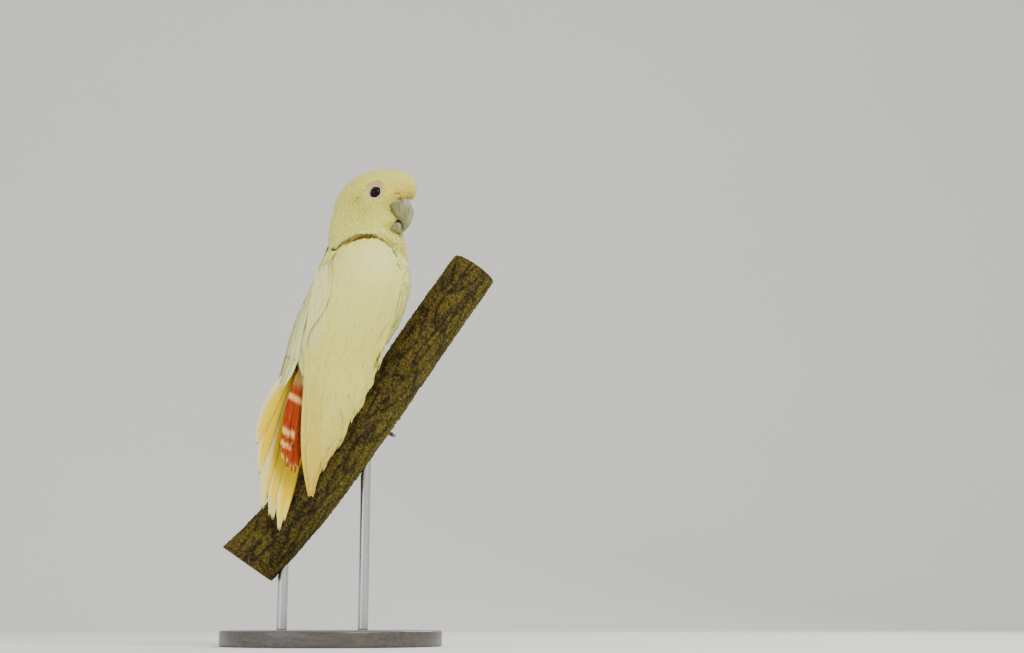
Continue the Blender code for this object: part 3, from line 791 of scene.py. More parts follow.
def spread(mesh_piece, wanted, spacing, seed, keep_if):
    """Points spread evenly over a mesh: random ones, each no nearer to a kept one than the spacing there."""
    mesh = mesh_piece.data
    mesh.calc_loop_triangles()
    corners = np.empty(len(mesh.loop_triangles) * 3, np.int32)
    mesh.loop_triangles.foreach_get("vertices", corners)
    tri = points_of(mesh_piece)[corners.reshape(-1, 3)]
    area = np.linalg.norm(np.cross(tri[:, 1] - tri[:, 0], tri[:, 2] - tri[:, 0]), axis=1)
    middle = tri.mean(axis=1)
    area = area * keep_if(middle)
    random = np.random.RandomState(seed)
    chosen = random.choice(len(tri), wanted, p=area / area.sum())
    a, b = random.rand(2, wanted)
    flip = a + b > 1
    a[flip], b[flip] = 1 - a[flip], 1 - b[flip]
    t = tri[chosen]
    found = t[:, 0] + a[:, None] * (t[:, 1] - t[:, 0]) + b[:, None] * (t[:, 2] - t[:, 0])
    gaps = spacing(found)
    cell = gaps.max()
    steps = list(itertools.product((-1, 0, 1), repeat=3))
    boxes, kept = {}, []
    for i, (p, gap) in enumerate(zip(found.tolist(), gaps.tolist())):
        key = tuple(int(v // cell) for v in p)
        around = ((key[0] + dx, key[1] + dy, key[2] + dz) for dx, dy, dz in steps)
        near = (q for box in around for q in boxes.get(box, ()))
        if any((p[0] - q[0]) ** 2 + (p[1] - q[1]) ** 2 + (p[2] - q[2]) ** 2 < gap * gap for q in near):
            continue
        boxes.setdefault(key, []).append(p)
        kept.append(i)
    return found[kept]


def lay(tree, roots, way_of, lengths, rows, heights):
    """Runs a middle line over a surface from each root, along the lie; heights lift it off at each row."""
    number = len(roots)
    middle, normal = np.empty((number, rows + 1, 3)), np.empty((number, rows + 1, 3))
    at = np.array(roots, float)
    for row in range(rows + 1):
        for i in range(number):
            place, face, _, _ = tree.find_nearest(Vector(at[i]))
            middle[i, row], normal[i, row] = place, face
        way = way_of(middle[:, row])
        way = unit(way - normal[:, row] * np.sum(way * normal[:, row], axis=1)[:, None])
        at = middle[:, row] + way * (lengths / rows)[:, None]
    return middle + normal * heights[:, :, None], normal


def vane_widths(share, root=0.45, wide=0.45, tip=0.3):
    """Half width along a rounded contour feather, as a share of the widest."""
    grow = root + (1 - root) * smooth_step(share, 0, wide)
    return grow * np.sqrt(np.clip(1 - (1 - tip**2) * smooth_step(share, 0.55, 1.0) ** 1.5, 0, 1))


def lie(points):
    """The lie of the plumage: back from the bill over the head, then down the body."""
    points = np.asarray(points, float)
    away = unit(points - BILL_ROOT)
    share = smooth_step(points[:, 2], 0.310, 0.345)[:, None]
    return unit(away * share + BODY_WAY * (1 - share))


# Surfaces of the wings and the tail: height and place across (both in millimetres, or a share) to a point.


def surface_normal(face, height, place, step_z, step_u):
    """The face's outward side, from two nearby points on it."""
    rise = face(height + step_z, place) - face(height - step_z, place)
    run = face(height, place + step_u) - face(height, place - step_u)
    return unit(np.cross(run, rise))


def wing_half_thickness(height):
    """Half the thickness of the frame's wings, which thin toward the tip."""
    return 3.0 - 1.9 * np.clip((316 - np.asarray(height, float)) / 164, 0, 1)


def near_wing(height, x):
    """The right wing's outer face at this height and world x, in millimetres."""
    cx, cy, long, deep, _, _ = np.moveaxis(curve(WING_ROWS["wing_right"], height), -1, 0)
    long, deep = long + wing_half_thickness(height), deep + wing_half_thickness(height)
    share = np.clip((x - cx) / long, -0.97, 0.97)
    return np.stack([cx + long * share, cy - deep * np.sqrt(1 - share**2), np.asarray(height, float)], -1)


def far_wing(height, share):
    """The left wing's outer face at this height and share of its breadth, from the back edge."""
    cx, cy, long, deep, back, front = np.moveaxis(curve(WING_ROWS["wing_left"], height), -1, 0)
    long, deep = long + wing_half_thickness(height), deep + wing_half_thickness(height)
    angle = np.radians(back + (front - back) * share)
    return np.stack([cx + long * np.cos(angle), cy + deep * np.sin(angle), np.asarray(height, float)], -1)


def tail_face(height, x, rows=TAIL_ROWS, camber=3.0):
    """The tail's or its coverts' middle surface at this height and world x, in millimetres."""
    left_x, left_y, right_x, right_y = np.moveaxis(curve(rows, height), -1, 0)
    share = np.clip((x - left_x) / (right_x - left_x), -0.15, 1.15)
    y = left_y + (right_y - left_y) * share + camber * np.sin(math.pi * np.clip(share, 0, 1))
    return np.stack([np.asarray(x, float) + 0 * y, y, np.asarray(height, float)], -1)


def covert_face(height, x):
    return tail_face(height, x, COVERT_ROWS, 0.0)


def blades(coat, face, outward, tracks, half, lift, tint_of, rows=22, columns=8, tip=0.25, crown=0.02,
           tilt=0.0, fray=0.12, thick=0.09 * MM, seed=5, step=0.5, root=0.5, wide=0.5, melt=0.0):
    """Adds long feathers over a surface.

    tracks holds (height, place) for the root, the middle and the tip of each; half and lift are in
    millimetres, one for each feather or one for all. outward is a direction on the outer side.
    """
    tracks = np.array(tracks, float)
    number = len(tracks)
    share = np.linspace(0, 1, rows + 1)
    a, b, c = tracks[:, 0, :, None], tracks[:, 1, :, None], tracks[:, 2, :, None]
    path = a * (1 - share) ** 2 + 2 * b * share * (1 - share) + c * share**2
    middle = face(path[:, 0], path[:, 1])
    normal = surface_normal(face, path[:, 0], path[:, 1], 1.0, step)
    if outward is None:
        outward = middle - (8, -20, 0) * np.array((1, 1, 0)) - middle * (0, 0, 1)
    normal = normal * np.sign(np.sum(normal * outward, axis=-1, keepdims=True))
    profile = vane_widths(share, root, wide, tip)
    halves = np.broadcast_to(np.asarray(half, float), number)[:, None] * profile
    lifts = np.broadcast_to(np.asarray(lift, float), number)[:, None]
    sink = 1.2 * (1 - smooth_step(share, 0, 0.2)) + melt * smooth_step(share, 0.86, 1.0)
    middle = middle + normal * (lifts - sink)[..., None]
    long = np.linalg.norm(np.diff(middle, axis=1), axis=-1).sum(axis=1)
    across = np.linspace(-1, 1, columns + 1)
    tint = tint_of(middle * MM, share, across)
    coat.add(middle * MM, normal, halves * MM, long * MM, tint, columns, crown, thick, fray, seed, tilt)


# The flesh under the plumage, as it is in the frame.


class Flesh:
    """The frame's flesh as search trees, and the outer shell that they make together."""

    def __init__(self):
        self.trees = {node: node_tree(node) for node in BODY_NODES + tuple(WING_ROWS)}
        self.horn = {node: node_tree(node) for node in ("bill_upper", "bill_lower")}
        self.shell = solid_copy("shell", BODY_NODES + tuple(WING_ROWS), FLESH_VOXEL, 6)
        self.tree = tree_of(self.shell)

    def gap(self, node, points):
        """How far each point is from a node's surface."""
        tree = self.trees.get(node) or self.horn[node]
        return np.array([tree.find_nearest(Vector(p))[3] for p in points])

    def body_gap(self, points):
        """How far each point is from the trunk and the wings."""
        return np.min([self.gap(node, points) for node in ("wing_right", "wing_left", "trunk")], axis=0)

    def nearest(self, points):
        """The name of the node that each point lies on."""
        names = list(self.trees)
        gaps = np.stack([self.gap(name, points) for name in names])
        return np.array(names)[gaps.argmin(axis=0)]


def eye_gap(points):
    """How far each point lies from the line through the eyes, and which way round it, in radians."""
    place = in_head(points)
    ahead, up = place[..., 0] - EYE_FORWARD, place[..., 2] - EYE_UP
    return np.hypot(ahead, up), np.arctan2(up, ahead)


# breadth of the fold under the neck's rolled rim by world x, in millimetres
FOLD_BREADTH = (
    (-12, -6.0), (-6, -1.5), (-3, 1.2), (0, 2.8), (4, 3.9), (10, 3.6),
    (15, 3.0), (21, 2.2), (30, 1.5), (38, 0.9), (43, -1.0), (50, -6.0),
)


# how deep the skin and the feathers sink in the fold, and how far feathers rise on its rim, at the
# trunk's edge beside the wing and over the crease, in millimetres
SKIN_SINK, FOLD_SINK, RIM_RISE, EDGE_RISE, CREASE_RISE = 1.5, 1.3, 0.75, 0.9, 2.1


def fold_breadth(points):
    """The fold's breadth at each point; below 0, as all round the back, there is no fold."""
    behind = smooth_step(points[:, 1] - centre("neck")[1], -7 * MM, 1 * MM)
    return (curve(FOLD_BREADTH, points[:, 0] / MM)[..., 0] - 10 * behind) * MM


def rim_gap(flesh, points):
    """How far points on the neck lie above its rolled rim; those in the fold are below 0."""
    return flesh.body_gap(points) - fold_breadth(points)


def crease_bridge(flesh, points):
    """How far feathers rise to close the crease between neck and shoulders, where there is no fold."""
    rise = np.zeros(len(points))
    low = (points[:, 2] > NECK_LOW) & (points[:, 2] < 0.332)
    if low.any():
        closed = smooth_step(-fold_breadth(points[low]), -0.8 * MM, 0.8 * MM)
        crease = flesh.gap("neck", points[low]) + flesh.body_gap(points[low])
        rise[low] = closed * hill((crease, 0, 3.0 * MM))
    return rise


def near_rim(flesh, points, node):
    """For each point: 1 in the fold below the rim, and 1 on the rolled rim above it."""
    fold, roll = np.zeros(len(points)), np.zeros(len(points))
    low = np.isin(node, ("neck", "head")) & (points[:, 2] < FOLD_TOP)
    if low.any():
        gap = rim_gap(flesh, points[low])
        fold[low] = 1 - smooth_step(gap, -0.35 * MM, 0.25 * MM)
        roll[low] = smooth_step(gap, -0.1 * MM, 0.3 * MM) * (1 - smooth_step(gap, 0.9 * MM, 3.2 * MM))
    body = np.isin(node, ("trunk", *WING_ROWS)) & (points[:, 2] > NECK_LOW)
    if body.any():
        breadth = np.maximum(fold_breadth(points[body]), 0.05 * MM)
        to_neck = flesh.gap("neck", points[body])
        fold[body] = 1 - smooth_step(to_neck, 0.15 * breadth, 0.55 * breadth + 0.3 * MM)
        fold[body] *= smooth_step(breadth, 0.1 * MM, 0.8 * MM)
    return fold, roll


def tint_flesh(flesh, points):
    """The plumage colour of each point of the shell, by the node it lies on."""
    node = flesh.nearest(points)
    tint = body_tint(points)
    for wing in WING_ROWS:
        here = node == wing
        if here.any():
            tint[here] = body_tint(points[here], wing)
    fold, roll = near_rim(flesh, points, node)
    # painted shade: a golden-brown band in the fold under the neck's rolled rim, stronger toward the left
    # side
    side = smooth_step(-points[:, 0], -0.035, 0.0)
    fold_shade = np.array(plumage().gold) * (0.56, 0.54, 0.6)
    blend(tint, fold_shade, fold * (0.75 + 0.2 * side))
    # painted highlight: a pale band along the neck's rolled rim above the fold
    blend(tint, plumage().pale, 0.8 * roll)
    # painted shade: a golden tint on the body beside the right wing's edge, where the wing meets the trunk
    seam_shade = (1 - smooth_step(flesh.gap("wing_right", points), 0.2 * MM, 4.0 * MM)) * (node != "wing_right")
    seam_shade = seam_shade * (points[:, 2] < 0.30) * (points[:, 0] < 0.02)
    blend(tint, plumage().gold, 0.3 * seam_shade)
    return tint


def root_of(node, cut):
    """A copy of the part of a node above this height, closed where it is cut."""
    twin = linked(node + "_root", NODES[node].data.copy())
    shape = bmesh.new()
    shape.from_mesh(twin.data)
    every = shape.verts[:] + shape.edges[:] + shape.faces[:]
    ends = bmesh.ops.bisect_plane(
        shape, geom=every, plane_co=(0, 0, cut), plane_no=(0, 0, -1), clear_outer=True
    )
    rim = [edge for edge in ends["geom_cut"] if isinstance(edge, bmesh.types.BMEdge)]
    bmesh.ops.edgeloop_fill(shape, edges=rim)
    shape.to_mesh(twin.data)
    shape.free()
    return twin


def on_cheek(points):
    return np.abs(in_head(points)[:, 1]) > CHEEK


def build_skin():
    """One skin round the head, neck and body, with lids and rings of bare skin round the eyes."""
    flesh = Flesh()
    deselect()
    parts = [root_of(node, cut) for node, cut in ROOT_CUTS.items()]
    body = solid_copy("skin", BODY_NODES, FLESH_VOXEL, 0)
    activate(body)
    for part in parts:
        part.select_set(True)
    bpy.ops.object.join()
    apply(body, "WELD", merge_threshold=0.001 * MM)
    apply(body, "REMESH", mode="VOXEL", voxel_size=FLESH_VOXEL)
    apply(body, "SMOOTH", factor=0.5, iterations=10)

    shape = bmesh.new()
    shape.from_mesh(body.data)
    for reach in (11.5 * MM, BARE_RING):
        where = np.array([v.co[:] for v in shape.verts])
        near = (eye_gap(where)[0] < reach) & on_cheek(where)
        edges = [e for e in shape.edges if near[e.verts[0].index] and near[e.verts[1].index]]
        bmesh.ops.subdivide_edges(shape, edges=edges, cuts=1, use_grid_fill=True)
        shape.verts.index_update()
    bmesh.ops.triangulate(shape, faces=[f for f in shape.faces if len(f.verts) > 4])
    shape.to_mesh(body.data)
    shape.free()

    points, normals = points_of(body), normals_of(body)
    tree = tree_of(body)
    ring, turn = eye_gap(points)
    bare = (1 - smooth_step(ring, 7.6 * MM, BARE_RING)) * on_cheek(points)
    depth = plumage().coat * (0.3 + 0.7 * below(points[:, 2], 0.335, 0.315))
    depth = depth * (1 - 0.9 * bare)
    node = flesh.nearest(points)
    depth = depth + SKIN_SINK * MM * near_rim(flesh, points, node)[0]
    room = np.full(len(points), 16 * MM)
    for i, (p, n) in enumerate(zip(points, normals)):
        hit = tree.ray_cast(Vector(p - n * 0.02 * MM), Vector(-n), room[i])
        if hit[0] is not None:
            room[i] = hit[3]
    moved = points - normals * np.minimum(depth, 0.3 * room)[:, None]

    side = np.sign(in_head(points)[:, 1])
    close = (ring < BARE_RING) & on_cheek(points)
    r = ring / MM
    above = 0.5 + 0.5 * np.sin(turn + 0.3)
    opening = r - 0.45 * np.clip(np.cos(turn - 2.36), 0, 1) + 0.12 * np.clip(np.cos(turn - 0.6), 0, 1)
    # the outer folds lie a little above the eye's middle and are taller than long
    outer = smooth_step(r, 4.2, 7.0)
    r = np.hypot(r * np.cos(turn) * (1 + 0.09 * outer), r * np.sin(turn) - 1.3 * outer)

    # radii, widths and heights of the ring's folds, and of the lines between them, are in millimetres
    def ridge(where, width, tall):
        return tall * hill((r, where, width))

    lift = ridge(4.7, 0.6, 0.65) + ridge(6.5, 0.45, 0.35) * (0.45 + above)
    lift += ridge(8.0, 0.5, 0.40) * (0.4 + above)
    lift -= ridge(5.6, 0.35, 0.30) + ridge(7.25, 0.35, 0.30) * (0.3 + above) + ridge(8.9, 0.4, 0.2) * above
    lift -= 3.2 * (1 - smooth_step(opening, 3.5, 4.1))
    crease = np.sin(turn * 23 + r * 2.1) * 0.06 * (r > 5.2) * (r < 8.6)
    moved += (close * (lift + crease) * MM * side)[:, None] * HEAD_ASIDE
    move_points(body, moved)

    tint = tint_flesh(flesh, points)
    skin_share = close * (1 - smooth_step(r, 7.6, 9.0)) * (0.70 + 0.30 * above)
    blend(tint, horn().lid, 0.85 * skin_share)
    inner = close * (1 - smooth_step(r, 5.0, 5.6))
    blend(tint, (0.72, 0.62, 0.38), 0.85 * inner)
    # painted shade: dark lines in the grooves between the ring's folds, darker above where the folds are
    # taller
    for where, width, dark in ((5.65, 0.42, 0.62), (7.25, 0.40, 0.60), (8.8, 0.45, 0.42)):
        line = close * dark * hill((r, where, width)) * (0.45 + 0.55 * above)
        tint *= 1 - line[:, None] * np.array((0.75, 1.0, 1.15))
    # painted shade: the skin darkened where the lids turn in toward the eye
    edge = close * (1 - smooth_step(opening, 3.85, 4.3))
    darken(tint, 0.85 * edge)
    # painted shade: the nostril's hole painted near black
    darken(tint, 0.93 * (1 - smooth_step(nostril_gap(points), 0.8, 1.5)))
    paint_points(body, tint)
    bpy.data.objects.remove(flesh.shell)
    body.data.materials.clear()
    body.data.materials.append(skin_paint())
    body.data.shade_smooth()
    add_uv(body.data, "OFBake", in_tile(unwrap(points)))
    keep(body, "plumage", *BODY_NODES, *WING_ROWS, "tail", "undertail_coverts")


# Small feathers over the whole body.


def small_feathers(flesh, coat, roots, lengths, halves, rows, columns, seed, rise=0.25, fray=0.12, crown=0.12,
                   bend=lie, depth=0.8, thick=0.07, melt=0.0):
    """Lays one small feather at each root; rise is how far the tips stand off, in millimetres."""
    random = np.random.RandomState(seed)
    number = len(roots)
    spin = random.normal(0, 0.10, number)

    def way_of(points):
        way = bend(points)
        cross = unit(np.cross(way, unit(points - HEAD_CENTRE * (1, 1, 0) - (0, 0, 1) * points)))
        return way + cross * spin[:, None]

    lengths = lengths * random.uniform(0.85, 1.12, number)
    halves = halves * random.uniform(0.88, 1.10, number)
    share = np.linspace(0, 1, rows + 1)
    tall = rise * MM * random.uniform(0.5, 1.4, number)
    heights = -depth * MM * (1 - smooth_step(share, 0, 0.5))[None]
    heights = heights + tall[:, None] * smooth_step(share, 0.1, 1.0)[None]
    heights = heights - (melt * MM * smooth_step(share, 0.75, 1.0))[None]
    middle, normal = lay(flesh.tree, roots, way_of, lengths, rows, heights)
    flat = middle.reshape(-1, 3)
    node = flesh.nearest(flat)
    fold, roll = near_rim(flesh, flat, node)
    to_wing = smooth_step(flesh.gap("wing_right", flat), 0.3 * MM, 4.0 * MM)
    edge = (node == "trunk") * (flat[:, 2] < 0.308) * (1 - to_wing)
    bridge = crease_bridge(flesh, flat)
    sunk = (FOLD_SINK * fold - RIM_RISE * roll - EDGE_RISE * edge - CREASE_RISE * bridge) * MM
    middle = middle - normal * sunk.reshape(number, rows + 1, 1)
    half = halves[:, None] * vane_widths(share)
    tint = tint_flesh(flesh, flat).reshape(number, rows + 1, 1, 3)
    tint = tint * random.uniform(0.965, 1.025, number)[:, None, None, None]
    base = np.array((0.90, 0.87, 0.72))
    tint = tint * (base + (1 - base) * smooth_step(share, 0.0, 0.65)[:, None])[None, :, None, :]
    tint = np.broadcast_to(tint, (number, rows + 1, columns + 1, 3))
    tilt = random.normal(0, 0.015, number)[:, None, None]
    coat.add(middle, normal, half, lengths, tint, columns, crown, thick * MM, fray, seed, tilt)


def small_coat(flesh, name, seed, wanted, allowed, spacing, lengths, halves, soft=0.6, **more):
    """Spreads and lays one coat of small feathers; each rule takes the roots and gives a value for each."""
    roots = spread(flesh.shell, wanted, spacing, seed, lambda points: allowed(points).astype(float))
    coat = Coat(name)
    small_feathers(flesh, coat, roots, lengths(roots), halves(roots), seed=seed, **more)
    bpy.data.objects.remove(flesh.shell)
    coat.make(feather_paint(), "plumage", *BODY_NODES, soft=soft)


def growing(base, more, top, bottom):
    """A rule in millimetres that grows by more from one height down to another."""
    return lambda points: (base + more * below(points[:, 2], top, bottom)) * MM


def face_share(points):
    """1 at the bill's root, falling to 0 at the back of the eye."""
    return 1 - smooth_step(np.linalg.norm(points - BILL_ROOT, axis=-1), 7 * MM, 24 * MM)


def head_way(points):
    """Back from the bill, but turned aside round the eyes."""
    points = np.asarray(points, float)
    way = lie(points)
    ring, turn = eye_gap(points)
    outward = np.cos(turn)[:, None] * HEAD_AHEAD + np.sin(turn)[:, None] * UP
    push = (1 - smooth_step(ring, 8 * MM, 13 * MM))[:, None]
    return unit(way + outward * push * 1.6)


def clear_of_face(points):
    """False over the eye rings, the nostrils and the bill."""
    place = in_head(points) / MM
    ring = np.hypot((place[:, 0] - EYE_FORWARD / MM) * 1.09, place[:, 2] - EYE_UP / MM - 1.3)
    bare = (ring < 8.3) & (np.abs(place[:, 1]) > 10)
    return ~bare & (nostril_gap(points) > 1.5)


def build_head_coat():
    """Tiny, close feathers of the face, crown, nape and cheeks."""

    def lengths(roots):
        near_ring = np.clip((eye_gap(roots)[0] - 8 * MM) / (6 * MM), 0, 1)
        return (5.4 - 2.6 * face_share(roots)) * (0.55 + 0.45 * near_ring) * MM

    small_coat(
        Flesh(), "head_feathers", 11, 52000,
        allowed=lambda points: (points[:, 2] > HEAD_LOW) & clear_of_face(points),
        spacing=lambda points: (1.05 - 0.25 * face_share(points)) * MM,
        lengths=lengths,
        halves=lambda roots: (1.35 - 0.5 * face_share(roots)) * MM,
        rows=4, columns=2, rise=0.14, bend=head_way, depth=0.3, crown=0.05, thick=0.05, soft=0.55,
    )


def build_face_edge():
    """The row of soft tufts that lean over the base of the bill."""
    flesh = Flesh()
    random = np.random.RandomState(16)
    rows, reach_of_edge = 4, 3.2 * MM

    def to_bill(points):
        near = np.empty((len(points), 3))
        for i, p in enumerate(points):
            hits = [tree.find_nearest(Vector(p)) for tree in flesh.horn.values()]
            near[i] = min(hits, key=lambda hit: hit[3])[0]
        return near - points

    def by_bill(points):
        return np.min([flesh.gap(node, points) for node in flesh.horn], axis=0) < reach_of_edge

    def allowed(points):
        shown = narrowed((points[:, 2] > 0.312) & (points[:, 0] > 0.024), points, by_bill)
        return (shown & clear_of_face(points) & (nostril_gap(points) > 1.7)).astype(float)

    roots = spread(flesh.shell, 14000, lambda points: np.full(len(points), 0.62 * MM), 15, allowed)
    number = len(roots)
    ways = unit(to_bill(roots) + UP * -0.3 * MM)
    share = np.linspace(0, 1, rows + 1)
    reach = (random.uniform(1.8, 2.9, number) * MM)[:, None, None]
    normal = np.array([flesh.tree.find_nearest(Vector(p))[1] for p in roots])
    ways = unit(ways + random.normal(0, 0.25, ways.shape))
    middle = roots[:, None] + ways[:, None] * reach * share[None, :, None]
    middle = middle + normal[:, None] * (MM * (0.45 * np.sin(share * 2.4) - 0.2))[None, :, None]
    normals = np.repeat(normal[:, None], rows + 1, axis=1)
    half = (random.uniform(0.3, 0.6, number) * MM)[:, None] * vane_widths(share, 0.6, 0.4, 0.1)
    tint = tint_flesh(flesh, middle.reshape(-1, 3)).reshape(number, rows + 1, 1, 3)
    tint = tint * random.uniform(0.85, 1.05, number)[:, None, None, None]
    coat = Coat("face_edge")
    coat.add(middle, normals, half, reach[:, 0, 0], np.repeat(tint, 3, axis=2),
             crown=0.05, thick=0.05 * MM, fray=0.3, seed=17)
    bpy.data.objects.remove(flesh.shell)
    coat.make(feather_paint(), "plumage", *BODY_NODES, soft=0.6)


def build_neck_coat():
    """Feathers of the neck, down to its rolled rim."""
    flesh = Flesh()

    def over_rim(points):
        return np.isin(flesh.nearest(points), ("neck", "head")) & (rim_gap(flesh, points) > 0.3 * MM)

    def allowed(points):
        height = points[:, 2]
        return narrowed((height > NECK_LOW) & (height <= NECK_TOP), points, over_rim)

    def at_rim(points):
        return 1 - smooth_step(np.abs(rim_gap(flesh, points) - 1.2 * MM), 1.5 * MM, 3.5 * MM)

    def lengths(roots):
        return np.minimum(growing(5.6, 1.6, 0.332, 0.312)(roots), 1.3 * rim_gap(flesh, roots) + 0.5 * MM)

    small_coat(
        flesh, "neck_feathers", 12, 24000, allowed,
        spacing=lambda points: (1.45 - 0.65 * at_rim(points)) * MM,
        lengths=lengths,
        halves=lambda roots: (1.7 - 0.9 * at_rim(roots)) * MM,
        rows=5, columns=2, rise=0.12, crown=0.05, depth=0.4, thick=0.05, soft=0.55,
    )


OPEN_FOLD = 0.35  # no feather roots deeper in the fold than this share of it


def build_body_coat():
    """Breast, belly, flanks, back and thighs."""
    flesh = Flesh()

    def on_body(points):
        node = flesh.nearest(points)
        fold = near_rim(flesh, points, node)[0]
        return np.isin(node, ("trunk", "thigh_left", "thigh_right")) & (fold < OPEN_FOLD)

    small_coat(
        flesh, "body_feathers", 13, 34000,
        allowed=lambda points: narrowed(points[:, 2] < FOLD_TOP, points, on_body),
        spacing=growing(2.0, 0.5, 0.31, 0.26),
        lengths=growing(8.5, 4.0, 0.31, 0.24),
        halves=growing(2.3, 0.8, 0.31, 0.24),
        rows=6, columns=4, rise=0.25, fray=0.22, crown=0.04,
    )


def build_wing_coverts():
    """Small coverts over the top of both wings."""
    flesh = Flesh()

    def on_wing(points):
        node = flesh.nearest(points)
        open_fold = (near_rim(flesh, points, node)[0] > OPEN_FOLD) & (points[:, 0] > 0.005)
        return np.isin(node, tuple(WING_ROWS)) & ~open_fold

    def allowed(points):
        x, height = points[:, 0] / MM, points[:, 2] / MM
        edge = 220 + 15 * np.sin(x * 1.3) + 9 * np.sin(x * 3.7 + 1) + 22 * smooth_step(-x, 11, 17)
        shown = narrowed((height > edge) & (points[:, 2] < COVERTS_TOP), points, on_wing)
        off_face = np.linalg.norm(points - near_wing(height, x) * MM, axis=1) > 2.2 * MM
        rim = off_face & (points[:, 1] < -0.02) & (points[:, 2] < 0.290)
        return shown & ~(rim & ((points[:, 0] > -0.024) | (points[:, 2] < 0.25)))

    small_coat(
        flesh, "wing_coverts", 14, 30000, allowed,
        spacing=growing(1.7, 1.9, 0.315, 0.24),
        lengths=growing(7.0, 13.0, 0.315, 0.23),
        halves=growing(2.2, 2.0, 0.315, 0.23),
        rows=8, columns=4, rise=0.05, fray=0.18, crown=0.015, thick=0.05, soft=0.75, melt=0.22,
    )


# Long feathers of the wings and the tail.


def between(first, last, number):
    return np.linspace(first, last, number)


def row_tracks(root_height, roots, tip_heights, tips, bows=itertools.repeat(0.0)):
    """Tracks from places at one height to tips; each bow moves a middle across."""
    return [
        ((root_height, root), ((root_height + height) / 2, (root + tip) / 2 + bow), (height, tip))
        for root, height, tip, bow in zip(roots, tip_heights, tips, bows)
    ]


def wing_tint(wing, seed, streak=0.5):
    """Colours for long wing feathers: an ochre cast along the trailing web and faint streaks."""

    def tint_of(points, share, across):
        number, rows = points.shape[:2]
        random = np.random.RandomState(seed)
        tint = body_tint(points.reshape(-1, 3), wing).reshape(number, rows, 1, 3)
        tint = np.repeat(tint, len(across), axis=2)
        tint = tint * random.uniform(0.96, 1.02, number)[:, None, None, None]
        gold = np.array(plumage().gold)
        line = hill((across, -0.8, 0.22))[None, None, :] * random.uniform(0, 1, number)[:, None, None]
        line = line * smooth_step(share, 0.15, 0.5)[None, :, None] * 0.4 * streak
        return tint + (gold - tint) * line[..., None]

    return tint_of


# height and x of the right wing's left and right edges, and of its breast edge alone, in millimetres
WING_EDGES = ((113, -18, -16.5), (124, -21, -13), (136, -22, -8), (150, -22, 0), (175, -23, 12),
              (200, -22, 24), (231, -23, 34), (260, -18, 44), (292, -10, 48))
BREAST_EDGE = ((126, -12.5), (138, -6.0), (146, 0.0), (152, 3.5), (158, 5.8), (166, 8.5),
               (174, 14.5), (187, 20.3), (207, 28.2), (224, 32.6), (231, 36.7), (249, 46.2))
TO_FRONT = np.array((0.0, -1.0, 0.0))


def build_near_wing():
    """Primaries, secondaries and coverts of the right wing."""
    coat = Coat("near_wing_feathers")
    tips = ((111.0, -17.6), (114.5, -16.6), (122, -15), (131, -12.0), (140, -7.5), (147, -3.0), (152, 0.5))
    tracks = row_tracks(262, (-6, 0, 6, 12, 19, 26, 31), *zip(*tips))
    tracks.append(((262, -14), (172, -23.5), (112, -18.8)))
    blades(coat, near_wing, TO_FRONT, tracks, (7.8, 8, 8, 8, 8, 8, 7, 6.5), between(-1.7, -1.0, 8),
           wing_tint("wing_right", 3), rows=34, tip=0.22, seed=21, wide=0.35)
    tips = ((134, -19), (140, -20), (147, -17), (153, -12.5), (157, -7), (161, -1), (163, 4), (172, 10),
            (184, 16.5), (197, 22), (211, 27.5))
    roots = (-14, -9, -5, 0, 5, 11, 17, 23, 29, 35, 40)
    tracks = row_tracks(272, roots, *zip(*tips))
    blades(coat, near_wing, TO_FRONT, tracks, 6.4, between(-0.7, -0.9, 11), wing_tint("wing_right", 4, 1.0),
           rows=30, tip=0.2, tilt=0.004, seed=22, melt=0.35, fray=0.3)
    jitter = np.random.RandomState(25).uniform(-9, 9, 15)
    tracks = row_tracks(286, between(-16, 47, 15), between(172, 226, 15) + jitter, between(-22, 32, 15))
    blades(coat, near_wing, TO_FRONT, tracks, 5.4, -0.6, wing_tint("wing_right", 5, 0.7), rows=26, tip=0.2,
           tilt=0.004, seed=23, melt=0.45, fray=0.4)
    jitter = np.random.RandomState(26).uniform(-12, 12, 21)
    tracks = row_tracks(292, between(-18, 48, 21), between(188, 236, 21) + jitter, between(-23, 38, 21))
    blades(coat, near_wing, TO_FRONT, tracks, 4.6, -0.42, wing_tint("wing_right", 6, 0.5), rows=22, tip=0.2,
           tilt=0.004, seed=24, melt=0.4, fray=0.5)
    coat.make(feather_paint(), "plumage", "wing_right", soft=0.85)
    build_wing_hair()
    build_flank_fringe()


def build_wing_hair():
    """Fine strands that soften the right wing's face."""
    coat = Coat("wing_hair")
    random = np.random.RandomState(33)
    number = 1500
    tracks, halves = [], []
    for _ in range(number):
        height = random.uniform(113, 270)
        left, right = curve(WING_EDGES, height)
        x, long = random.uniform(left + 1, right - 2), random.uniform(8, 20)
        lean = random.uniform(0.05, 0.30) * smooth_step(x, -20, 30) + random.normal(0, 0.02)
        middle = x + lean * long / 2 + random.normal(0, 0.2)
        tracks.append(((height + long, x + lean * long), (height + long / 2, middle), (height, x)))
        halves.append(random.uniform(0.35, 1.3))
    blades(coat, near_wing, TO_FRONT, tracks, halves, random.uniform(-0.5, -0.18, number),
           wing_tint("wing_right", 11, 0.6), rows=8, columns=2, tip=0.08, crown=0.03, seed=34, fray=0.5,
           root=0.4, wide=0.5, melt=0.25, thick=0.05 * MM)
    coat.make(feather_paint(), "plumage", "wing_right", soft=0.7)


